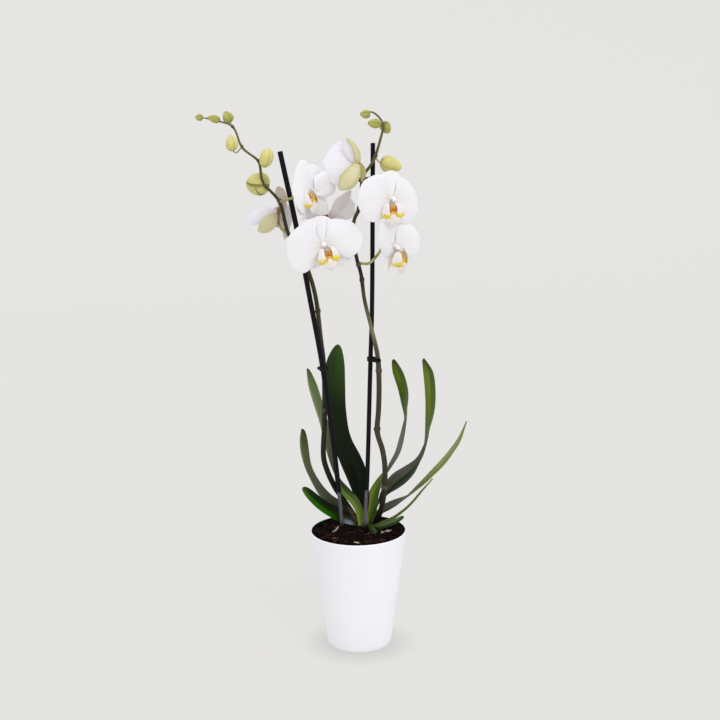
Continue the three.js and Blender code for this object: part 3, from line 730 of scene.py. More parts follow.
# A spike's radii and tones are rows by height. Its sheaths are the places of its nodes.
spikes = {
    "left": {
        "radii": [
            (160, 4), (250, 3.9), (300, 3.5), (440, 3.1), (520, 3), (580, 2.6), (610, 2.2), (633, 1.9), (660, 1.7),
            (700, 1.4), (720, 1.1)],
        "path": [
            (3, 20, 158), (-6, 20, 177), (-15, 20, 191.5), (-24, 19, 205.6), (-32, 18, 219.5), (-41, 17, 241),
            (-46, 16, 264), (-44, 14, 308), (-43, 14, 355), (-43.5, 13.5, 395), (-46.4, 12, 424), (-51.8, 11.5, 478),
            (-60.6, 11.5, 514), (-72, 11, 541), (-86, 10, 565), (-93.5, 9.2, 597), (-96.5, 9, 608),
            (-100.5, 8, 613.5), (-107, 7, 621), (-115.5, 5.3, 629.5), (-118.5, 5, 635), (-119.8, 4.5, 648),
            (-121.6, 4, 660), (-127, 3.8, 665.5), (-143, 3, 679), (-153, 2, 704), (-171, 1, 712), (-191, 0, 717)],
        "sheaths": [
            (-44.5, 14, 325), (-49, 11.7, 463), (-96, 9, 608), (-118, 5, 632), (-122, 4, 661), (-143, 3, 679),
            (-153, 2, 704)],
        "tones": [
            (160, (66, 50, 42)), (176, (96, 76, 66)), (185, (82, 64, 56)), (193, (26, 22, 18)), (217, (15, 15, 11)),
            (255, (30, 30, 23)), (300, (40, 40, 32)), (385, (46, 41, 35)), (415, (52, 48, 36)), (448, (66, 61, 46)),
            (482, (56, 53, 38)), (522, (76, 72, 50)), (556, (54, 53, 32)), (600, (60, 57, 34)), (650, (84, 80, 50)),
            (700, (108, 104, 60))],
    },
    "right": {
        "radii": [(160, 3.9), (380, 3.6), (415, 3.1), (440, 2.7), (600, 2.5), (650, 2.1), (700, 1.7), (722, 1.3)],
        "path": [
            (17, 21, 158), (24, 17, 168), (31, 12, 186), (35, 7, 209), (37, 1, 246), (34, 0, 274), (27, -0.5, 300),
            (29, -0.5, 330), (30, -0.5, 366), (28.5, -0.5, 403), (21, -1.5, 440), (12, -2, 479), (8, -2, 512),
            (2, -2, 536), (-2, -2, 565), (0, -2, 585), (6, -2, 598), (9, -2, 616), (11, -2, 639), (21, -2, 653),
            (28, -1, 666), (36, 0, 692), (38.6, 0, 703), (36, 0, 711), (30, 0, 718), (24, 0, 721.6),
            (19.5, 0, 721.8)],
        "sheaths": [
            (36.2, 4.4, 221.5), (27.3, -0.5, 302), (30, -0.5, 385), (8.3, -2, 505), (7, -2, 527), (6, -2, 598),
            (27, -1, 665)],
        # The near-black first row is painted shadow: the spike's foot, deep among the leaf bases.
        "tones": [
            (170, (9, 8, 8)), (200, (42, 38, 30)), (250, (58, 54, 45)), (300, (60, 57, 46)), (340, (58, 53, 46)),
            (385, (66, 60, 50)), (415, (80, 74, 60)), (435, (116, 112, 80)), (478, (70, 66, 44)), (520, (30, 28, 17)),
            (575, (72, 68, 46)), (630, (54, 52, 30)), (655, (84, 80, 48)), (705, (104, 96, 56))],
    },
}
buds = {
    "left": [
        {"node": (-188, 0, 716.5), "centre": (-196, 0, 717), "axis": (-1, 0, 0.1), "length": 10, "width": 9},
        {"node": (-171, 1, 712), "centre": (-177, -1, 715), "axis": (-1, -0.1, 0.3), "length": 16, "width": 10},
        {"node": (-153, 2, 704), "centre": (-160, 3, 717), "axis": (-0.4, 0, 1), "length": 15, "width": 14},
        {"node": (-143, 3, 679), "via": [(-150, 1, 672)], "centre": (-156, 0, 684), "axis": (-0.1, 0, 1),
         "length": 20, "width": 16},
        {"node": (-121.2, 4, 659), "centre": (-112, -3, 665), "axis": (0.32, 0, 1), "length": 25, "width": 18,
         "taper": -0.08},
        {"node": (-118, 5, 632), "centre": (-125.4, 19, 630), "axis": (-0.6, 0.7, -0.3), "length": 35, "width": 30,
         "split": True},
    ],
    "right": [
        {"node": (21, 0, 721.6), "centre": (15.6, 0, 718.6), "axis": (-1, 0, 0.1), "length": 13, "width": 11},
        {"node": (37, 0, 711), "centre": (27, -4, 707), "axis": (-1, -0.3, 0.1), "length": 17, "width": 12},
        {"node": (39, 0, 703), "centre": (42, 9, 701), "axis": (0.3, 0.5, -0.6), "length": 18, "width": 14},
        {"node": (27, -1, 665), "via": [(33, -1.5, 658)], "centre": (47.6, 0, 655), "axis": (1, 0, -0.33),
         "length": 28, "width": 22},
    ],
}

# The stalks of flowers and buds: red feet are where, in x and z, they turn red behind two flowers.
stalks = {
    "flowerRadius": 1.9, "swell": 0.4, "budRadius": 0.95, "redFeet": [(-35, 588), (-101, 588)],
    "greens": [(142, 142, 78), (178, 178, 114)], "blush": (150, 96, 74), "red": (136, 78, 66),
}


def spikePaint(name, tones):
    paint = Paint(name, Specular_IOR_Level=0.15)
    streaks = paint.streaks((420, 420, 60), 4)
    spots = paint.grain(260, 3)
    low, high = tones[0][0], tones[-1][0]
    share = (paint.axis("Z") - low * mm) / ((high - low) * mm)
    body = paint.ramp(share, [((z - low) / (high - low), colour) for z, colour in tones])
    body = paint.mix(streaks.between(0.42, 0.75), body, (1.4, 1.36, 1.3, 1), "MULTIPLY")
    body = paint.mix(spots.between(0.6, 0.75) * 0.8, body, (0.6, 0.54, 0.56, 1), "MULTIPLY")
    paint.set({"Base Color": body, "Roughness": 0.38 + 0.25 * streaks})
    paint.bump(streaks + 0.5 * spots, 0.25, 0.0005)
    return paint


def pedicelPaint():
    paint = Paint("pedicelGreen", Roughness=0.45)
    streaks = paint.streaks((300, 300, 120), 3)
    body = paint.mix(streaks.between(0.35, 0.7), *stalks["greens"])
    body = paint.mix(paint.grain(90, 2).between(0.58, 0.75) * 0.5, body, stalks["blush"])
    x, z = paint.axis("X"), paint.axis("Z")
    for footX, footZ in stalks["redFeet"]:
        aside, above = x - footX * mm, z - footZ * mm
        reach = (aside * aside + above * above) ** 0.5
        body = paint.mix(reach.between(0.014, 0.008) * 0.85, body, stalks["red"])
    paint.set({"Base Color": body})
    paint.bump(streaks, 0.15, 0.0004)
    return paint


# The dry scale that wraps each node of a stem: it turns to one side and then the other, and opens in a point.
sheath = {
    "lengths": (6.5, 4.2), "sink": 1.5, "turns": (-90, 60), "wrap": 150, "bulge": 0.1, "gap": 0.15, "flare": 0.6,
    "thickness": 0.3, "tones": [(62, 54, 42), (86, 74, 58)], "tip": (100, 86, 70),
}


def sheathPaint():
    paint = Paint("sheathDry", Roughness=0.7)
    lines = paint.streaks((600, 600, 90), 4)
    body = paint.mix(lines.between(0.35, 0.7), *sheath["tones"])
    paint.set({"Base Color": paint.mix(paint.axis("Y", "UV").between(0.5, 1) * 0.6, body, sheath["tip"])})
    paint.bump(lines, 0.3, 0.0004)
    return paint


def sheathScale(bm, place, heading, radius, length, turn):
    frameTurn = zAxis.rotation_difference(heading) @ Matrix.Rotation(math.radians(turn), 3, "Z").to_quaternion()

    def surface(u, v):
        angle = (2 * u - 1) * math.radians(sheath["wrap"]) * (1 - v ** 1.6) ** 0.7
        reach = radius * (1 + sheath["bulge"] * math.sin(math.pi * v)) + sheath["gap"] + sheath["flare"] * v ** 3
        return place + frameTurn @ Vector((reach * math.cos(angle), reach * math.sin(angle), length * v))

    sheet(bm, 12, 8, surface)


def makeStem(side, spec, points):
    radii = []
    for point in points:
        nearest = min((point - Vector(knuckle)).length for knuckle in spec["sheaths"])
        radii.append(stepped(spec["radii"], point.z) + 0.4 * math.exp(-(nearest / 4) ** 2) - 0.1)
    radii[-1] *= 0.5
    bm = bmesh.new()
    tube(bm, points, radii, 16)
    paint = spikePaint(f"{side}SpikeOlive", spec["tones"])
    soften(finished(f"{side}Spike", bm, f"spike_{side}", [paint]))
    return radii


def makeSheaths(side, spec, points, radii, paint):
    bm = bmesh.new()
    for number, knuckle in enumerate(spec["sheaths"]):
        index = min(range(len(points)), key=lambda i: (points[i] - Vector(knuckle)).length)
        heading = (points[min(index + 2, len(points) - 1)] - points[max(index - 2, 0)]).normalized()
        start, length = points[index] - heading * sheath["sink"], mixed(*sheath["lengths"], index / len(points))
        sheathScale(bm, start, heading, radii[index], length, sheath["turns"][number % 2])
    piece = finished(f"{side}SpikeSheaths", bm, f"spike_{side}", [paint])
    thicken(piece, sheath["thickness"])
    soften(piece)


def makeStalks(side, paint):
    bm = bmesh.new()
    for flower in (value for value in flowers.values() if value["spike"] == side):
        away, centre = -facing(flower), Vector(flower["centre"])
        middle = flower.get("via", [centre + away * 3 * hubLength])
        line = evenly([flower["node"], *middle, centre + away * (hubLength - 2)], 3)
        thick, swell = stalks["flowerRadius"], stalks["swell"]
        radii = [thick + swell * eased(i / (len(line) - 1), 0.5, 1) + swell * (i < 1) for i in range(len(line))]
        tube(bm, line, radii, 12)
    for bud in buds[side]:
        base = Vector(bud["centre"]) - Vector(bud["axis"]).normalized() * (bud["length"] / 2 - 1)
        line = evenly([bud["node"], *bud.get("via", []), base], 1.5)
        tube(bm, line, [stalks["budRadius"]] * len(line), 10)
    soften(finished(f"{side}SpikePedicels", bm, f"spike_{side}", [paint]))


def makeSpikes():
    green, dry = pedicelPaint(), sheathPaint()
    for side, spec in spikes.items():
        points = evenly(spec["path"], 4)
        radii = makeStem(side, spec, points)
        makeSheaths(side, spec, points, radii, dry)
        makeStalks(side, green)


makeSpikes()
print("spikes made")


# Rows of share and tone from a bud's foot to its point, then its seams' tone and width. The one that is
# about to open also has the edges of its sepals, round a place in x and z: how far left, how low, how bent,
# with painted shade below each edge in the seams' tone.
budLooks = {
    "budGreen": {
        "tones": [(0, (156, 154, 84)), (0.25, (210, 205, 122)), (0.9, (224, 217, 142)), (1, (104, 84, 48))],
        "seamAndShadeTone": (150, 142, 64), "seamWidth": 0.16,
    },
    "budYoung": {
        "tones": [(0, (110, 106, 56)), (0.25, (160, 158, 74)), (0.8, (186, 184, 92)), (1, (126, 92, 58))],
        "seamAndShadeTone": (110, 106, 48), "seamWidth": 0.3,
    },
}
budLooks["budSplitting"] = {
    **budLooks["budGreen"], "seamAndShadeTone": (104, 98, 36), "seamWidth": 0.03,
    "splitAt": (-126, 631), "splitEdges": [(16.3, 0.6, 15), (4.5, 17, 48)],
}
budShape = {"taper": 0.18, "crease": 0.05, "splitCrease": 0.1, "youngBelow": 20}


def budPaint(name, look):
    paint = Paint(name, Subsurface_Weight=0.15, Subsurface_Scale=0.003)
    around, along = paint.acrossAndAlong()
    seamAndShadeTone = look["seamAndShadeTone"]
    seam = (abs((around * 3 * math.pi).wave())).between(look["seamWidth"], 0)
    lines = paint.streaks((60, 7, 1), 4, "UV")
    body = paint.ramp(along, look["tones"])
    body = paint.mix(lines.between(0.4, 0.75) * 0.45, body, (0.68, 0.64, 0.42, 1), "MULTIPLY")
    body = paint.mix(seam * 0.75, body, seamAndShadeTone)
    if "splitAt" in look:
        aside, above = ((paint.axis(way) - place * mm) * 1000 for way, place in zip("XZ", look["splitAt"]))
        for left, low, bend in look["splitEdges"]:
            # Painted shade below each sepal edge, in the seams' tone, fading over a few millimetres.
            under = bend * (aside + left) ** -1 - low - above
            shade = under.between(7, 0) * under.between(-0.5, 0.3)
            body = paint.mix(shade * 0.9, body, seamAndShadeTone)
            seam = seam + shade
    body = paint.mix(paint.grain(330, 3).between(0.66, 0.78) * 0.35, body, (150, 120, 70))
    paint.set({"Base Color": body, "Roughness": 0.36 + 0.2 * lines})
    paint.bump(lines - seam, 0.3, 0.0005)
    return paint


def makeBud(side, number, spec, paints):
    bm = bmesh.new()
    bm.loops.layers.uv.verify()
    bmesh.ops.create_uvsphere(bm, u_segments=36, v_segments=20, radius=1, calc_uvs=True)
    taper = spec.get("taper", budShape["taper"])
    crease = budShape["splitCrease" if "split" in spec else "crease"]
    for vert in bm.verts:
        height, angle = vert.co.z, math.atan2(vert.co.y, vert.co.x)
        groove = math.exp(-(math.sin(1.5 * angle + math.pi / 2) / 0.16) ** 2)
        lobes = 1 + 0.05 * math.cos(3 * angle) - crease * groove * (1 - height ** 4)
        across = (1 - taper * height) * lobes * spec["width"] / 2
        vert.co.x *= across
        vert.co.y *= across
        vert.co.z = height * spec["length"] / 2 * (1 + 0.04 * eased(height, 0.6, 1))
    turn = zAxis.rotation_difference(Vector(spec["axis"]))
    matrix = Matrix.Translation(Vector(spec["centre"])) @ turn.to_matrix().to_4x4()
    bmesh.ops.transform(bm, matrix=matrix, verts=bm.verts)
    young = spec["length"] < budShape["youngBelow"]
    paint = paints["budSplitting" if "split" in spec else "budYoung" if young else "budGreen"]
    soften(finished(f"{side}Bud{number}", bm, f"bud_{side}_{number}", [paint]))


def makeBuds():
    paints = {name: budPaint(name, look) for name, look in budLooks.items()}
    for side, specs in buds.items():
        for number, spec in enumerate(specs, 1):
            makeBud(side, number, spec, paints)


makeBuds()
print("buds made")

# Each station of a leaf is x, y, z, width and turn: at turn 0 the upper face looks to -Y.
# A row of tones is a share of the leaf's length, then the colour of its two halves, or one for both.
# "split" is where across the under face its halves meet.
leaves = {
    "upright": {
        "stations": [
            (9, 22, 172, 14, 10), (5, 25, 202, 21.5, 12), (-1.5, 27, 231, 30, 14), (-10, 28, 253, 31, 16),
            (-19, 29, 274, 28, 16), (-24.5, 30, 294, 27, 16), (-28.5, 31, 323, 28, 14), (-29.5, 31, 352, 29, 12),
            (-29, 30, 385, 28, 10), (-24, 29, 414, 22, 8)],
        "tipStart": 0.86, "blunt": 0.95,
        "upper": [
            (0, (8, 14, 4), (8, 16, 4)), (0.3, (10, 18, 4), (12, 24, 5)), (0.5, (15, 26, 7), (14, 24, 6)),
            (0.7, (22, 34, 14), (22, 36, 10)), (0.88, (38, 58, 23), (47, 73, 21)), (1, (52, 74, 32), (60, 84, 34))],
        "under": [(0, (60, 78, 44)), (1, (92, 116, 70))],
    },
    "upper_left": {
        "stations": [
            (4, 13, 162, 9, 20), (3, 13, 175, 10, 20), (0.5, 14, 187.5, 12, 24), (-6, 17, 199, 14, 30),
            (-16, 21, 208.5, 15, 40), (-25, 28, 218, 16, 62), (-31, 34, 231, 18, 92), (-37, 36, 248, 22, 112),
            (-42, 37, 273, 23, 122), (-47, 37, 301, 23, 126), (-53.5, 37, 325, 24, 128), (-61, 36, 353, 23, 128),
            (-66, 35, 380, 15, 124)],
        "upper": [
            (0, (150, 156, 74), (120, 136, 50)), (0.14, (118, 138, 52), (96, 118, 40)),
            (0.3, (92, 118, 44), (48, 72, 22)), (0.44, (70, 96, 30), (40, 60, 18)), (1, (70, 96, 40), (60, 86, 34))],
        "under": [
            (0, (110, 128, 50)), (0.44, (62, 82, 42), (94, 112, 62)), (0.62, (96, 110, 76), (120, 134, 90)),
            (0.8, (108, 120, 86), (134, 148, 96)), (0.95, (98, 118, 70), (118, 136, 82)),
            (0.99, (92, 112, 64), (110, 128, 74)), (1, (72, 64, 40), (76, 66, 42))],
    },
    "left": {
        "stations": [
            (5, 21, 167, 14, 84), (-6, 24, 173.5, 22, 104), (-17, 27, 179, 30, 120), (-31, 29, 187, 34, 126),
            (-46, 30, 198, 34, 127), (-60, 30, 220, 28, 122), (-70.5, 29, 245, 24, 121), (-74.5, 28, 273, 23, 125),
            (-74, 27, 298, 16, 124)],
        "upper": [
            (0, (66, 80, 60), (50, 64, 44)), (0.12, (62, 78, 56), (46, 60, 40)), (0.3, (60, 76, 52), (54, 72, 44)),
            (1, (50, 84, 34))],
        # From 0.38 to 0.85 the first half's grey is partly the under face's own green and partly a painted sheen of
        # the pale room.
        "under": [
            (0, (40, 54, 34), (60, 76, 58)), (0.2, (48, 60, 40), (74, 86, 68)), (0.38, (82, 86, 70), (74, 88, 56)),
            (0.6, (84, 88, 66), (84, 102, 56)), (0.85, (80, 86, 58), (106, 124, 66)),
            (1, (30, 46, 14), (44, 64, 22))],
    },
    "lower_left": {
        "stations": [
            (4, 19, 163, 11, 62), (-8, 21, 167, 15, 56), (-18, 22, 170.5, 18, 54), (-28, 22, 175.5, 22, 56),
            (-42, 20, 184, 23, 60), (-55, 17, 195.5, 21.5, 58), (-65, 13, 207, 18, 57), (-75, 8, 220, 12, 55)],
        # In the rows at 0.17 and 0.26 the first half's bluish white is a painted sheen: the pale room's reflection on
        # the glossy leaf near its foot.
        "upper": [
            (0, (34, 50, 28), (30, 44, 26)), (0.09, (54, 72, 52), (36, 52, 32)),
            (0.17, (132, 144, 150), (62, 80, 62)), (0.26, (116, 128, 134), (44, 60, 40)),
            (0.36, (24, 44, 14), (30, 42, 26)), (0.55, (38, 98, 6), (22, 38, 14)),
            (0.85, (48, 106, 12), (28, 46, 16)), (1, (92, 116, 46), (66, 86, 34))],
        "under": [(0, (84, 100, 66)), (1, (72, 106, 42))],
    },
    "right": {
        "stations": [
            (15, 22, 174, 14, -14), (20, 24, 198, 17, -22), (31, 25, 222, 17, -66), (45.5, 26, 243, 22, -106),
            (57.5, 26, 264, 23, -112), (63.5, 26, 288, 23, -108), (66.5, 26, 309, 23, -94), (67, 26, 326, 23, -74),
            (65, 25, 350, 23, -54), (58.5, 24, 374, 22, -46), (50, 22, 394, 12, -46)],
        "upper": [
            (0, (128, 142, 60), (92, 116, 40)), (0.12, (114, 134, 48), (78, 104, 32)),
            (0.25, (84, 108, 36), (56, 82, 24)), (0.6, (66, 88, 20), (78, 102, 34)),
            (0.78, (74, 100, 20), (80, 106, 30)), (0.9, (96, 122, 26), (76, 100, 20)),
            (0.99, (92, 116, 30), (72, 94, 22)), (1, (64, 52, 32), (54, 44, 28))],
        # From 0.3 to 0.58 the second half's grey is partly the paler under face and partly a painted sheen of the
        # pale room.
        "under": [
            (0, (84, 110, 50)), (0.3, (84, 92, 76), (100, 106, 94)), (0.45, (46, 62, 34), (116, 120, 110)),
            (0.58, (50, 70, 36), (98, 106, 92)), (1, (80, 100, 52))],
    },
    "tall_right": {
        "split": 0.62,
        "stations": [
            (14, 19, 168, 15, -35), (23, 20, 186, 24, -66), (37, 21, 203, 30, -118), (54, 22, 221, 35, -142),
            (72, 22, 236.5, 33, -136), (86.5, 21, 256, 27, -112), (93.5, 21, 277, 25, -96), (97.5, 20, 299, 24, -80),
            (101, 19, 325, 24, -62), (101, 18, 352, 24, -54), (98, 17, 377, 21, -50), (90, 16, 396, 11, -50)],
        "upper": [
            (0, (84, 130, 30), (60, 92, 24)), (0.2, (56, 86, 26), (50, 76, 24)), (0.5, (54, 76, 24), (100, 118, 56)),
            (0.7, (114, 130, 52), (88, 110, 38)), (0.9, (116, 136, 50), (78, 104, 28)),
            (0.99, (104, 124, 44), (70, 94, 28)), (1, (64, 52, 32), (54, 44, 28))],
        "under": [
            (0, (34, 54, 22), (60, 72, 42)), (0.2, (30, 50, 24), (58, 64, 48)), (0.35, (34, 56, 26), (90, 90, 82)),
            (0.5, (42, 62, 28), (76, 80, 64)), (1, (84, 104, 58))],
    },
    "far_right": {
        "stations": [
            (15, 19, 165, 12, -95), (27, 19, 176, 22, -118), (41, 18, 186, 27, -130), (57, 17, 196, 24, -124),
            (73, 16, 208, 15, -98), (87.5, 15, 221, 14, -78), (101.5, 14, 236, 14, -70), (115.5, 13, 251, 13.5, -66),
            (128, 12, 268, 12, -66), (138.5, 10, 286, 9, -66), (147, 8, 311, 3, -66)],
        "upper": [
            (0, (76, 100, 42), (60, 84, 34)), (0.4, (108, 122, 68), (92, 108, 52)),
            (0.6, (142, 153, 98), (126, 138, 80)), (0.85, (150, 160, 104), (136, 147, 86)),
            (1, (142, 150, 92), (112, 124, 64))],
        "under": [
            (0, (50, 66, 32), (66, 74, 52)), (0.3, (42, 58, 28), (96, 97, 88)), (0.5, (56, 72, 36), (98, 103, 86)),
            (1, (120, 134, 86))],
    },
    "thin_right": {
        "stations": [
            (15, 16, 162, 8, -72), (26, 10, 165, 8, -75), (36, 5, 171, 8, -77), (49, 1, 179, 7.5, -78),
            (58, -3, 187, 7, -78), (67, -7, 196, 6.5, -78), (77, -10, 208, 6, -78), (86, -14, 221, 5, -78),
            (100, -20, 240, 2.6, -78)],
        "upper": [
            (0, (70, 94, 40), (60, 84, 34)), (0.5, (104, 120, 62), (90, 106, 50)),
            (1, (138, 150, 92), (124, 138, 78))],
        "under": [(0, (78, 88, 60)), (1, (120, 132, 84))],
    },
    "short_right": {
        "stations": [
            (15, 14, 160, 6, -60), (27, 5, 163.5, 8, -56), (39, -3, 170, 9, -57), (51, -9, 177, 9, -60),
            (61.5, -14, 185, 6.5, -62)],
        "upper": [
            (0, (46, 62, 34), (36, 52, 26)), (0.4, (88, 102, 66), (42, 62, 26)), (0.75, (96, 112, 66), (50, 76, 26)),
            (1, (64, 92, 30), (46, 74, 22))],
        "under": [(0, (90, 104, 70)), (1, (104, 120, 76))],
    },
    "small_front": {
        "stations": [
            (12, 12, 164, 6, -50), (16, 0, 166, 8, -46), (20.5, -14, 165.5, 7.5, -46), (24, -26, 163.5, 5, -46)],
        "upper": [(0, (54, 80, 30), (36, 60, 20)), (1, (58, 76, 36), (38, 56, 24))],
        "under": [(0, (80, 96, 52)), (1, (70, 90, 44))],
    },
}
# The first bodyRows of a leaf's rows reach tipStart of its length, and the rest round off its tip.
leafShape = {
    "across": 16, "along": 60, "shortAlong": 30, "thickness": 2.0, "thinnest": 0.1, "rimShare": 0.25, "fold": 16,
    "bodyRows": 0.75, "tipStart": 0.9, "blunt": 0.62, "wave": 0.5,
}
# What each kind of mark multiplies a leaf's tones by.
leafMarks = {
    "darkStreaks": (0.58, 0.61, 0.56, 1), "paleStreaks": (1.55, 1.46, 1.46, 1), "fineStreaks": (1.22, 1.2, 1.22, 1),
    "patches": (0.74, 0.78, 0.72, 1), "rib": (0.5, 0.55, 0.48, 1), "rim": (1.5, 1.45, 1.3, 1),
}


def leafPaint(name, rows, rough, gloss, split, tipStart):
    paint = Paint(name, Specular_IOR_Level=gloss)
    across, along = paint.acrossAndAlong()
    scale = leafShape["bodyRows"] / tipStart
    shares = [min(1, row[0] * scale) if row[0] < 1 else 1 for row in rows]
    near, far = (paint.ramp(along, [(share, row[half]) for share, row in zip(shares, rows)]) for half in (1, -1))
    body = paint.mix(across.between(split - 0.1, split + 0.1), near, far)
    lines = paint.streaks((13, 0.9, 1), 5, "UV", 0.6)
    fine = paint.streaks((70, 8, 1), 3, "UV")
    patches = paint.grain(30, 3)
    fromRib = abs(across - 0.5)
    rib = fromRib.between(0.035, 0)
    masks = {
        "darkStreaks": lines.between(0.5, 0.25), "paleStreaks": lines.between(0.52, 0.8),
        "fineStreaks": fine.between(0.4, 0.7) * 0.5, "patches": patches.between(0.45, 0.75) * 0.6,
        "rib": rib * 0.9, "rim": fromRib.between(0.455, 0.495) * 0.6,
    }
    for mark, mask in masks.items():
        body = paint.mix(mask, body, leafMarks[mark], "MULTIPLY")
    paint.set({"Base Color": body, "Roughness": rough + 0.2 * lines})
    paint.bump(lines * 0.6 - rib * 0.8 + patches * 0.5, 0.22, 0.0007)
    return paint


def makeLeaf(name, spec):
    stations = spec["stations"]
    shape = {**leafShape, **spec}
    bodyRows, tipStart = shape["bodyRows"], shape["tipStart"]
    fold, bend = math.radians(shape["fold"]), 1.2  # the fold's angle, and how gently it bends at the rib

    def surface(u, v):
        side = 2 * u - 1
        tipAngle = max(0, (v - bodyRows) / (1 - bodyRows)) * math.pi / 2 * 0.985
        share = min(v / bodyRows, 1) * tipStart + (1 - tipStart) * math.sin(tipAngle)
        x, y, z, width, turn = curveAt(stations, share)
        heading = headingAt(stations, share)
        level = yAxis.cross(heading).normalized()
        aside = Matrix.Rotation(math.radians(turn), 3, heading) @ level
        reach = side * width / 2 * math.cos(tipAngle) ** shape["blunt"]
        rise = (math.sqrt(reach * reach + bend) - math.sqrt(bend)) * math.sin(fold)
        sway = shape["wave"] * side ** 2 * noise.noise(Vector((x, z, 40 * (u > 0.5))) * 0.035)
        return Vector((x, y, z)) + aside * reach * math.cos(fold) + aside.cross(heading) * (rise + sway)

    bm = bmesh.new()
    sheet(bm, shape["across"], shape["along"] if len(stations) > 5 else shape["shortAlong"], surface)
    layer = bm.loops.layers.uv.active
    deform = bm.verts.layers.deform.verify()
    for loop in (loop for face in bm.faces for loop in face.loops):
        offset = abs(2 * loop[layer].uv.x - 1)
        loop.vert[deform][0] = mixed(shape["rimShare"], 1, 1 - offset ** 1.7)
    title = titled(name)
    paints = [
        leafPaint(f"leaf{title}Upper", spec["upper"], 0.32, 0.12, 0.5, tipStart),
        leafPaint(f"leaf{title}Under", spec["under"], 0.47, 0.08, spec.get("split", 0.5), tipStart),
    ]
    piece = finished(f"leaf{title}", bm, f"leaf_{name}", paints, recalculate=False)
    piece.vertex_groups.new(name="thick")
    thicken(piece, shape["thickness"], under=1, group="thick", thinnest=shape["thinnest"])
    soften(piece)


for leafName, leafSpec in leaves.items():
    makeLeaf(leafName, leafSpec)
print("leaves made")

crown = {
    "foot": (10, 20, 150), "top": (10, 20, 190), "radius": 7.6, "taper": 0.72,
    "tones": [(92, 96, 44), (126, 146, 50)], "lines": (70, 84, 34),
}


def makeCrown():
    bm = bmesh.new()
    line = evenly([crown["foot"], crown["top"]], 2)
    radii = [crown["radius"] * (1 - crown["taper"] * eased(i / (len(line) - 1), 0.35, 1)) for i in range(len(line))]
    tube(bm, line, radii, 20)
    paint = Paint("crownGreen")
    lines = paint.streaks((500, 500, 40), 4)
    body = paint.mix(paint.axis("Z").between(0.158, 0.19), *crown["tones"])
    paint.set({"Base Color": paint.mix(lines.between(0.4, 0.75) * 0.6, body, crown["lines"])})
    paint.bump(lines, 0.4, 0.0008)
    soften(finished("crownStem", bm, "crown", [paint]))


makeCrown()
print("crown made")

petalShape = {
    "foot": 1.6, "lift": 1.6, "dome": 2.4, "bend": 0.035, "roll": 1.1, "thickness": 0.55, "ruffle": 1.6, "wave": 1.3,
    "groove": 0.5, "lowerWaist": 0.2,
}
sepalShape = {
    "lift": -2.2, "cup": -0.15, "bend": 0.1, "peak": 0.9, "fullness": 0.72, "claw": 0.3, "thickness": 0.7, "curl": 8,
}
dorsalShape = {**sepalShape, "lift": 0.9, "cup": -0.24, "bend": 0.05, "peak": 1.45, "fullness": 0.62}
# Of each kind of petal or sepal: its tone, then those of its foot, rim and veins, the strength of the
# veins, and where the rim starts, from 0 at the midline to 0.5 at the edge.
tepalTones = {
    "petalWhite": [(244, 243, 247), (238, 236, 230), (248, 247, 251), (219, 217, 224), 0.17, 0.44],
    "sepalWhite": [(238, 236, 238), (232, 230, 214), (232, 226, 221), (206, 202, 206), 0.3, 0.44],
    "petalShaded": [(238, 236, 242), (226, 224, 208), (232, 226, 234), (206, 200, 216), 0.6, 0.4],
    "petalLilac": [(234, 233, 244), (220, 214, 218), (222, 214, 222), (212, 206, 220), 0.3, 0.42],
    "petalGrey": [(238, 235, 237), (224, 214, 214), (236, 230, 228), (216, 208, 214), 0.4, 0.42],
    "sepalRose": [(228, 219, 218), (206, 188, 180), (216, 194, 176), (204, 192, 192), 0.4, 0.4],
    # The darker rose-brown sepal tone below is a pale rose sepal darkened by painted shade, for the upper sepal of
    # the flower at the back left.
    "sepalDusk": [(204, 190, 180), (186, 168, 150), (206, 190, 182), (176, 158, 150), 0.6, 0.4],
    "sepalPink": [(228, 218, 216), (196, 186, 150), (214, 196, 186), (204, 184, 180), 0.4, 0.42],
    "sepalTan": [(198, 192, 150), (190, 176, 128), (220, 206, 184), (170, 162, 112), 0.7, 0.36],
    "sepalGreen": [(216, 211, 168), (200, 192, 116), (184, 174, 98), (176, 166, 98), 0.9, 0.2],
    "sepalOlive": [(168, 158, 96), (150, 140, 74), (190, 160, 130), (128, 118, 60), 0.6, 0.4],
}


# Flesh that light goes a little way into, each colour as far as the others, because the petals are white.
def fleshPaint(name, weight, depth, **sockets):
    return Paint(name, Subsurface_Weight=weight, Subsurface_Scale=depth, Subsurface_Radius=(1, 1, 1), **sockets)


def tepalPaint(name, body, foot, edge, vein, strength, rimFrom):
    paint = fleshPaint(name, 0.25, 0.003)
    across, along = paint.acrossAndAlong()
    lines = paint.streaks((34, 1.1, 1), 3, "UV", 0.55)
    clouds = paint.grain(30, 3)
    colour = paint.mix(along.between(0.35, 0.02), body, foot)
    colour = paint.mix(lines.between(0.5, 0.75) * strength, colour, vein)
    colour = paint.mix(clouds.between(0.45, 0.8) * 0.3, colour, (0.93, 0.925, 0.95, 1), "MULTIPLY")
    rim = (abs(across - 0.5)).between(rimFrom, 0.5) + along.between(0.92, 1.0)
    colour = paint.mix(rim * 0.6, colour, edge)
    paint.set({"Base Color": colour, "Roughness": 0.42 + 0.16 * lines})
    paint.bump(lines + 0.4 * clouds, 0.18, 0.0005)
    return paint


# A flower's own directions for a petal or sepal whose midline points at an angle.
def tepalAxes(angle, openAngle):
    midline, spread = math.radians(angle), math.radians(openAngle)
    outward = Vector((math.cos(midline), math.sin(midline), 0))
    across = Vector((-math.sin(midline), math.cos(midline), 0))
    along = outward * math.sin(spread) + zAxis * math.cos(spread)
    above = zAxis * math.sin(spread) - outward * math.cos(spread)
    return along, across, above


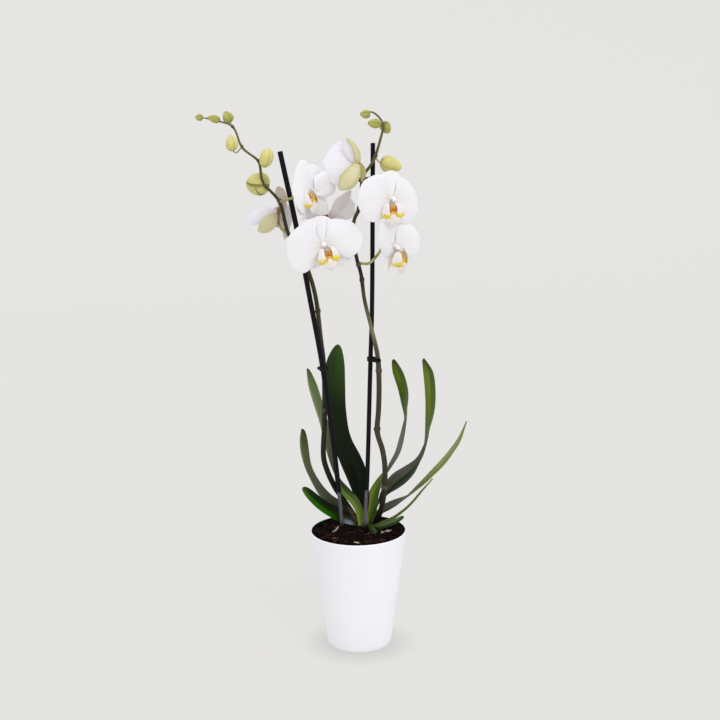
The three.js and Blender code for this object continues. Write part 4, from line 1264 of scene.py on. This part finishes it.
# A petal is a fan: u turns round its foot, and v runs out to its edge.
def petal(bm, place, spec, openAngle, seed):
    shape = petalShape
    along, across, above = tepalAxes(spec["angle"], openAngle)
    upward = 1 if spec["angle"] < 90 else -1
    middle = (spec["outline"][0][0] + spec["outline"][-1][0]) / 2

    def surface(u, v):
        side = 2 * u - 1  # 1 at the upper edge, -1 at the lower
        angle, edge = curveAt(spec["outline"], u)
        waist = spec["waist"] if side > 0 else shape["lowerWaist"]
        turn = math.radians(middle + (angle - middle) * (1 - waist * (1 - v * v)))
        reach = shape["foot"] + (edge - shape["foot"]) * v
        ruffle = shape["ruffle"] * v ** 3 * noise.noise(Vector((2.2 * side, 2.6 * v, seed)))
        wave = shape["wave"] * v * noise.noise(Vector((1.4 * side, 1.2 * v, seed + 5)))
        dome = shape["dome"] * math.sin(math.pi * 0.92 * v)
        lift = shape["lift"] + dome - shape["bend"] * edge * v * v - shape["roll"] * (side * v) ** 2
        lift += ruffle + wave - shape["groove"] * math.exp(-(side / 0.06) ** 2) * (1 - v)
        return place @ (along * reach * math.cos(turn) + across * upward * reach * math.sin(turn) + above * lift)

    sheet(bm, 28, 20, surface)


def sepal(bm, place, angle, length, width, openAngle, shape, seed):
    along, across, above = tepalAxes(angle, openAngle)
    curl = (90 - openAngle) / 90 * shape["curl"]

    def surface(u, v):
        share = 0.01 + 0.98 * (0.5 - 0.5 * math.cos(math.pi * v))
        side = 2 * u - 1
        bulge = math.sin(math.pi * share ** shape["peak"]) ** shape["fullness"]
        half = width / 2 * bulge * mixed(shape["claw"], 1, eased(share, 0, 0.16))
        lift = shape["lift"] + shape["cup"] * side * side * half - shape["bend"] * share * share * length
        lift += curl * share * share + 0.7 * share * noise.noise(Vector((side * 1.5, 3 * share, seed)))
        lift -= 0.45 * math.exp(-(side / 0.1) ** 2)
        return place @ (along * (0.4 + length * share) + across * side * half + above * lift)

    sheet(bm, 14, 22, surface)


# How much of its width a lobe keeps near its end, which is round from four fifths on.
def roundedTip(share, least):
    return math.sqrt(max(least, 1 - max(0, (share - 0.8) / 0.2) ** 2))


# A petal or sepal seen from behind, bulging towards its outer face.
def strip(bm, stations, seed, material):
    def surface(u, v):
        share = 0.5 - 0.5 * math.cos(math.pi * v)
        x, y, z, width, *turn = curveAt(stations, share)
        heading = headingAt(stations, share)
        side = Matrix.Rotation(math.radians(sum(turn)), 3, heading) @ yAxis.cross(heading).normalized()
        over = side.cross(heading)
        across = 2 * u - 1
        half = width / 2 * roundedTip(share, 0.01)
        rise = half * (0.06 - 0.2 * across * across) - 0.35 * math.exp(-(across / 0.12) ** 2)
        rise += 0.9 * noise.noise(Vector((across * 1.4, share * 3, seed))) * share
        return Vector((x, y, z)) + side * across * half + over * rise

    sheet(bm, 16, 22, surface, material)


columnTones = [(246, 244, 244), (236, 224, 226)]
lipTones = {
    "white": [(242, 238, 236), (228, 218, 212)], "yellow": (238, 214, 44), "throat": (234, 188, 56),
    "dots": (150, 52, 34), "rim": (212, 186, 160), "sideWhite": (240, 236, 237), "sideYellow": (240, 216, 46),
    "sideDots": (176, 100, 40), "sideLines": (214, 200, 200), "sideRimShade": (214, 188, 164),
}
callusTones = {
    "callusOrange": [(226, 164, 48), (170, 72, 36)], "callusYellow": [(232, 204, 70), (186, 128, 44)],
}


def columnPaint():
    paint = fleshPaint("columnWhite", 0.3, 0.003, Roughness=0.4)
    spots = paint.grain(420, 3)
    paint.set({"Base Color": paint.mix(spots.between(0.5, 0.8), *columnTones)})
    paint.bump(spots, 0.1, 0.0003)
    return paint


def lipPaint():
    paint = fleshPaint("lipFront", 0.2, 0.002, Roughness=0.42)
    across, along = paint.acrossAndAlong()
    lines = paint.streaks((30, 3, 1), 3, "UV")
    offset = abs(across - 0.5)
    sides = offset.between(0.16, 0.3) * along.between(0.62, 0.4)
    dots = paint.grain(620, 2).between(0.56, 0.64) * along.between(0.66, 0.4)
    colour = paint.mix(lines.between(0.4, 0.7), *lipTones["white"])
    colour = paint.mix(sides, colour, lipTones["yellow"])
    colour = paint.mix(along.between(0.44, 0.3), colour, lipTones["throat"])
    colour = paint.mix(dots * 0.9, colour, lipTones["dots"])
    colour = paint.mix(offset.between(0.44, 0.5) * 0.5, colour, lipTones["rim"])
    paint.set({"Base Color": colour})
    paint.bump(lines, 0.2, 0.0004)
    return paint


def sideLobePaint():
    paint = fleshPaint("lipSides", 0.25, 0.002, Roughness=0.42)
    across, along = paint.acrossAndAlong()
    lines = paint.streaks((26, 3, 1), 3, "UV")
    edge = along + 0.5 * (paint.grain(170, 2) - 0.5)
    dots = paint.grain(620, 2).between(0.62, 0.7) * along.between(0.56, 0.4)
    # Painted shade: the side lobes' edges and tips are laid in tan, for the shading at their outer edges.
    rim = (abs(across - 0.5)).between(0.4, 0.5) + along.between(0.9, 1.0)
    colour = paint.mix(edge.between(0.46, 0.36), lipTones["sideWhite"], lipTones["sideYellow"])
    colour = paint.mix(dots * 0.6, colour, lipTones["sideDots"])
    colour = paint.mix(lines.between(0.5, 0.72) * 0.35, colour, lipTones["sideLines"])
    colour = paint.mix(rim * 0.55, colour, lipTones["sideRimShade"])
    paint.set({"Base Color": colour})
    paint.bump(lines, 0.2, 0.0004)
    return paint


def callusPaint(name):
    paint = Paint(name, Roughness=0.35)
    spots = paint.grain(620, 2)
    paint.set({"Base Color": paint.mix(spots.between(0.42, 0.6), *callusTones[name])})
    paint.bump(spots, 0.3, 0.0004)
    return paint


# The stations of a lip's front and side lobes are x, y, z and width. A "deep" lip has its side lobes turned
# further round, deepways, and a yellow callus instead of an orange one.
lip = {
    "front": [
        (0, -9, 5, 6), (0, -13.5, 9.5, 10), (0, -18, 12.5, 13), (0, -23, 13.5, 17), (0, -28, 12, 13),
        (0, -31.5, 9.5, 4)],
    "side": [
        (7, -22, 11, 6), (8.8, -19, 12, 11), (9.3, -15.5, 12.4, 11), (8.6, -11, 12.4, 8.5), (7.6, -7, 12, 7),
        (6.2, -3, 11, 3.5)],
    "sideways": (1, 0, -0.4), "deepways": (0.5, 0, -0.86), "frontCup": 0.24, "sideCup": -0.25, "thickness": 0.6,
    "bead": (3.4, 3.6, 2.4), "beadAt": (2.8, -10.4, 9.5),
}


def lobe(bm, place, stations, sideways, cup, material, mirror=1):
    def surface(u, v):
        share = 0.5 - 0.5 * math.cos(math.pi * v) if material else v
        x, y, z, width = curveAt(stations, share)
        heading = headingAt(stations, share)
        side = heading.cross(sideways).cross(heading).normalized()
        inner = side.cross(heading)
        across = 2 * u - 1
        half = width / 2 * roundedTip(v, 0.02)
        ruffle = 0.7 * v * across * across * math.sin(9 * v + 4 * across)
        local = Vector((x, y, z)) + side * across * half + inner * (cup * across * across * half + ruffle)
        return place @ Vector((local.x * mirror, local.y, local.z))

    sheet(bm, 12, 16, surface, material)


def stripsOf(bm, strips, seed):
    used = sorted({kind for kind, stations in strips})
    for number, (kind, stations) in enumerate(strips):
        strip(bm, stations, seed + 5 * number, used.index(kind))
    return used


def makeTepals(title, name, spec, paints):
    place = flowerPlace(spec)
    seed = len(title) * 3.7 + spec["azimuth"] * 0.13
    petals, sepals = bmesh.new(), bmesh.new()
    if "petals" in spec:
        petalKinds, sepalKinds = ["petalWhite"], ["sepalWhite", "petalWhite"]
        for number, shape in enumerate(spec["petals"]):
            petal(petals, place, shape, shape.get("open", spec["open"]), seed + 5 * number)
        for angle, length, width in spec["laterals"]:
            sepal(sepals, place, angle, length, width, spec["open"], sepalShape, seed + angle)
        laterals = set(sepals.faces)
        sepal(sepals, place, *spec["dorsal"], 90, dorsalShape, seed + 90)
        for face in sepals.faces:
            face.material_index = 0 if face in laterals else 1
    else:
        petalKinds = stripsOf(petals, spec["petalStrips"], seed)
        sepalKinds = stripsOf(sepals, spec["sepalStrips"], seed + 30)
    parts = ("Petals", petals, petalKinds, petalShape), ("Sepals", sepals, sepalKinds, sepalShape)
    for part, bm, kinds, shape in parts:
        piece = finished(f"flower{title}{part}", bm, name, [paints[kind] for kind in kinds])
        thicken(piece, shape["thickness"])
        soften(piece)


def makeColumn(title, name, spec, paint):
    bm = bmesh.new()
    stations = [(0, 0, -hubLength), (0, 0.4, 0), (0, 1, 4), (0, 0, 8), (0, -2.4, 10.4)]
    line = evenly(stations, 0.9)
    shares = [i / (len(line) - 1) for i in range(len(line))]
    radii = [1.9 + 0.9 * eased(share, 0.1, 0.5) + 0.25 * eased(share, 0.6, 0.8) for share in shares]
    radii[-1] *= 0.35
    radii[-2] *= 0.8
    radii[0] *= 0.6
    x, y, z = spec["lip"].get("shift", (0, 0, 0))
    matrix = flowerPlace(spec) @ Matrix.Translation((x, y / 2, z))
    bmesh.ops.transform(bm, matrix=matrix, verts=tube(bm, line, radii, 16))
    soften(finished(f"flower{title}Column", bm, name, [paint]))


def makeLip(title, name, spec, paints):
    form = spec["lip"]
    turn = Matrix.Rotation(math.radians(form.get("turn", 0)), 4, "Y")
    turn = turn @ Matrix.Rotation(math.radians(form.get("tilt", 0)), 4, "Z")
    shift = Matrix.Translation(form.get("shift", (0, 0, 0)))
    place = flowerPlace(spec) @ shift @ turn @ Matrix.Scale(form["size"], 4)
    widen, sideways = form.get("deep", 1), lip["deepways" if "deep" in form else "sideways"]
    front = [(x, y, z * widen, width) for x, y, z, width in lip["front"]]
    sides = [(x, y, z, width * widen) for x, y, z, width in lip["side"]]
    bm = bmesh.new()
    lobe(bm, place, front, xAxis, lip["frontCup"], 0)
    for mirror in (1, -1):
        lobe(bm, place, sides, Vector(sideways), lip["sideCup"], 1, mirror)
    piece = finished(f"flower{title}Lip", bm, f"{name}_lip", [paints["front"], paints["sides"]])
    thicken(piece, lip["thickness"])
    soften(piece)

    bm = bmesh.new()
    for sign in (1, -1):
        bead = bmesh.ops.create_uvsphere(bm, u_segments=16, v_segments=10, radius=1)["verts"]
        bmesh.ops.scale(bm, vec=lip["bead"], verts=bead)
        x, y, z = lip["beadAt"]
        bmesh.ops.translate(bm, vec=(x * sign, y, z), verts=bead)
    bmesh.ops.transform(bm, matrix=place, verts=bm.verts)
    paint = paints["deepCallus" if "deep" in form else "callus"]
    finished(f"flower{title}Callus", bm, f"{name}_lip", [paint])


def makeFlowers():
    tepals = {name: tepalPaint(name, *values) for name, values in tepalTones.items()}
    column = columnPaint()
    lips = {
        "front": lipPaint(), "sides": sideLobePaint(),
        "callus": callusPaint("callusOrange"), "deepCallus": callusPaint("callusYellow"),
    }
    for name, spec in flowers.items():
        title = titled(name.removeprefix("flower_"))
        makeTepals(title, name, spec, tepals)
        makeColumn(title, name, spec, column)
        makeLip(title, name, spec, lips)


makeFlowers()
print("flowers made")

studio = {
    "flat": 2.6, "curve": 1.4, "wall": 1.9, "tone": (229, 228, 226), "glow": 0.805, "albedo": 0.18,
    "shadeFrom": 0.04, "shadeTo": 0.088, "shade": 0.17, "sky": 1.02, "skyTone": (0.985, 0.98, 1, 1),
    "keyFrom": (0.5, -1, 0.8), "key": 0.8, "keyAngle": 45,
}
view = {"at": (0.0051, -1.8, 0.79), "down": 12.27, "roll": -0.69, "lens": 69.65, "sensor": 36}


# A colour with its share of light, and full alpha.
def dimmed(colour, share):
    return tuple(share * value for value in tone(colour)[:3]) + (1,)


# The floor curves up into a wall all round. It glows evenly, except for a painted soft shadow under the pot.
def makeFloor():
    outline = [(0.001, 0), (0.3, 0), (1.0, 0), (studio["flat"], 0)]
    for i in range(1, 13):
        angle = math.pi / 2 * i / 12
        outline.append((studio["flat"] + studio["curve"] * math.sin(angle), studio["curve"] * (1 - math.cos(angle))))
    outline.append((studio["flat"] + studio["curve"], studio["wall"]))
    bm = spun(outline, 96, 0.002)
    mesh = bpy.data.meshes.new("floor")
    bm.to_mesh(mesh)
    bm.free()
    floor = bpy.data.objects.new("floor", mesh)
    scene.collection.objects.link(floor)
    for face in mesh.polygons:
        face.use_smooth = True
    paint = Paint("floorPale", Roughness=1, Specular_IOR_Level=0, Emission_Strength=studio["glow"])
    bright = studio["tone"]
    x, y, z = (paint.axis(name) for name in "XYZ")
    shadowMask = ((x * x + y * y + z * z) ** 0.5).between(studio["shadeTo"], studio["shadeFrom"])
    glow = paint.mix(shadowMask, bright, dimmed(bright, 1 - studio["shade"]))
    paint.set({"Base Color": dimmed(bright, studio["albedo"]), "Emission Color": glow})
    mesh.materials.append(paint.material)


def makeLights():
    world = bpy.data.worlds.new("studio")
    scene.world = world
    world.use_nodes = True
    background = world.node_tree.nodes["Background"]
    background.inputs["Color"].default_value = studio["skyTone"]
    background.inputs["Strength"].default_value = studio["sky"]
    data = bpy.data.lights.new("keyLight", "SUN")
    data.energy = studio["key"]
    data.angle = math.radians(studio["keyAngle"])
    lamp = bpy.data.objects.new("keyLight", data)
    lamp.rotation_euler = (-Vector(studio["keyFrom"])).to_track_quat("-Z", "Y").to_euler()
    scene.collection.objects.link(lamp)


def makeCamera():
    data = bpy.data.cameras.new("camera")
    data.sensor_width = view["sensor"]
    data.lens = view["lens"]
    camera = bpy.data.objects.new("camera", data)
    down, roll = math.radians(90 - view["down"]), math.radians(view["roll"])
    turn = Matrix.Rotation(down, 4, "X") @ Matrix.Rotation(roll, 4, "Z")
    camera.matrix_world = Matrix.Translation(view["at"]) @ turn
    scene.collection.objects.link(camera)
    scene.camera = camera


makeFloor()
makeLights()
makeCamera()
scene.view_settings.view_transform = "Standard"
print("studio made")
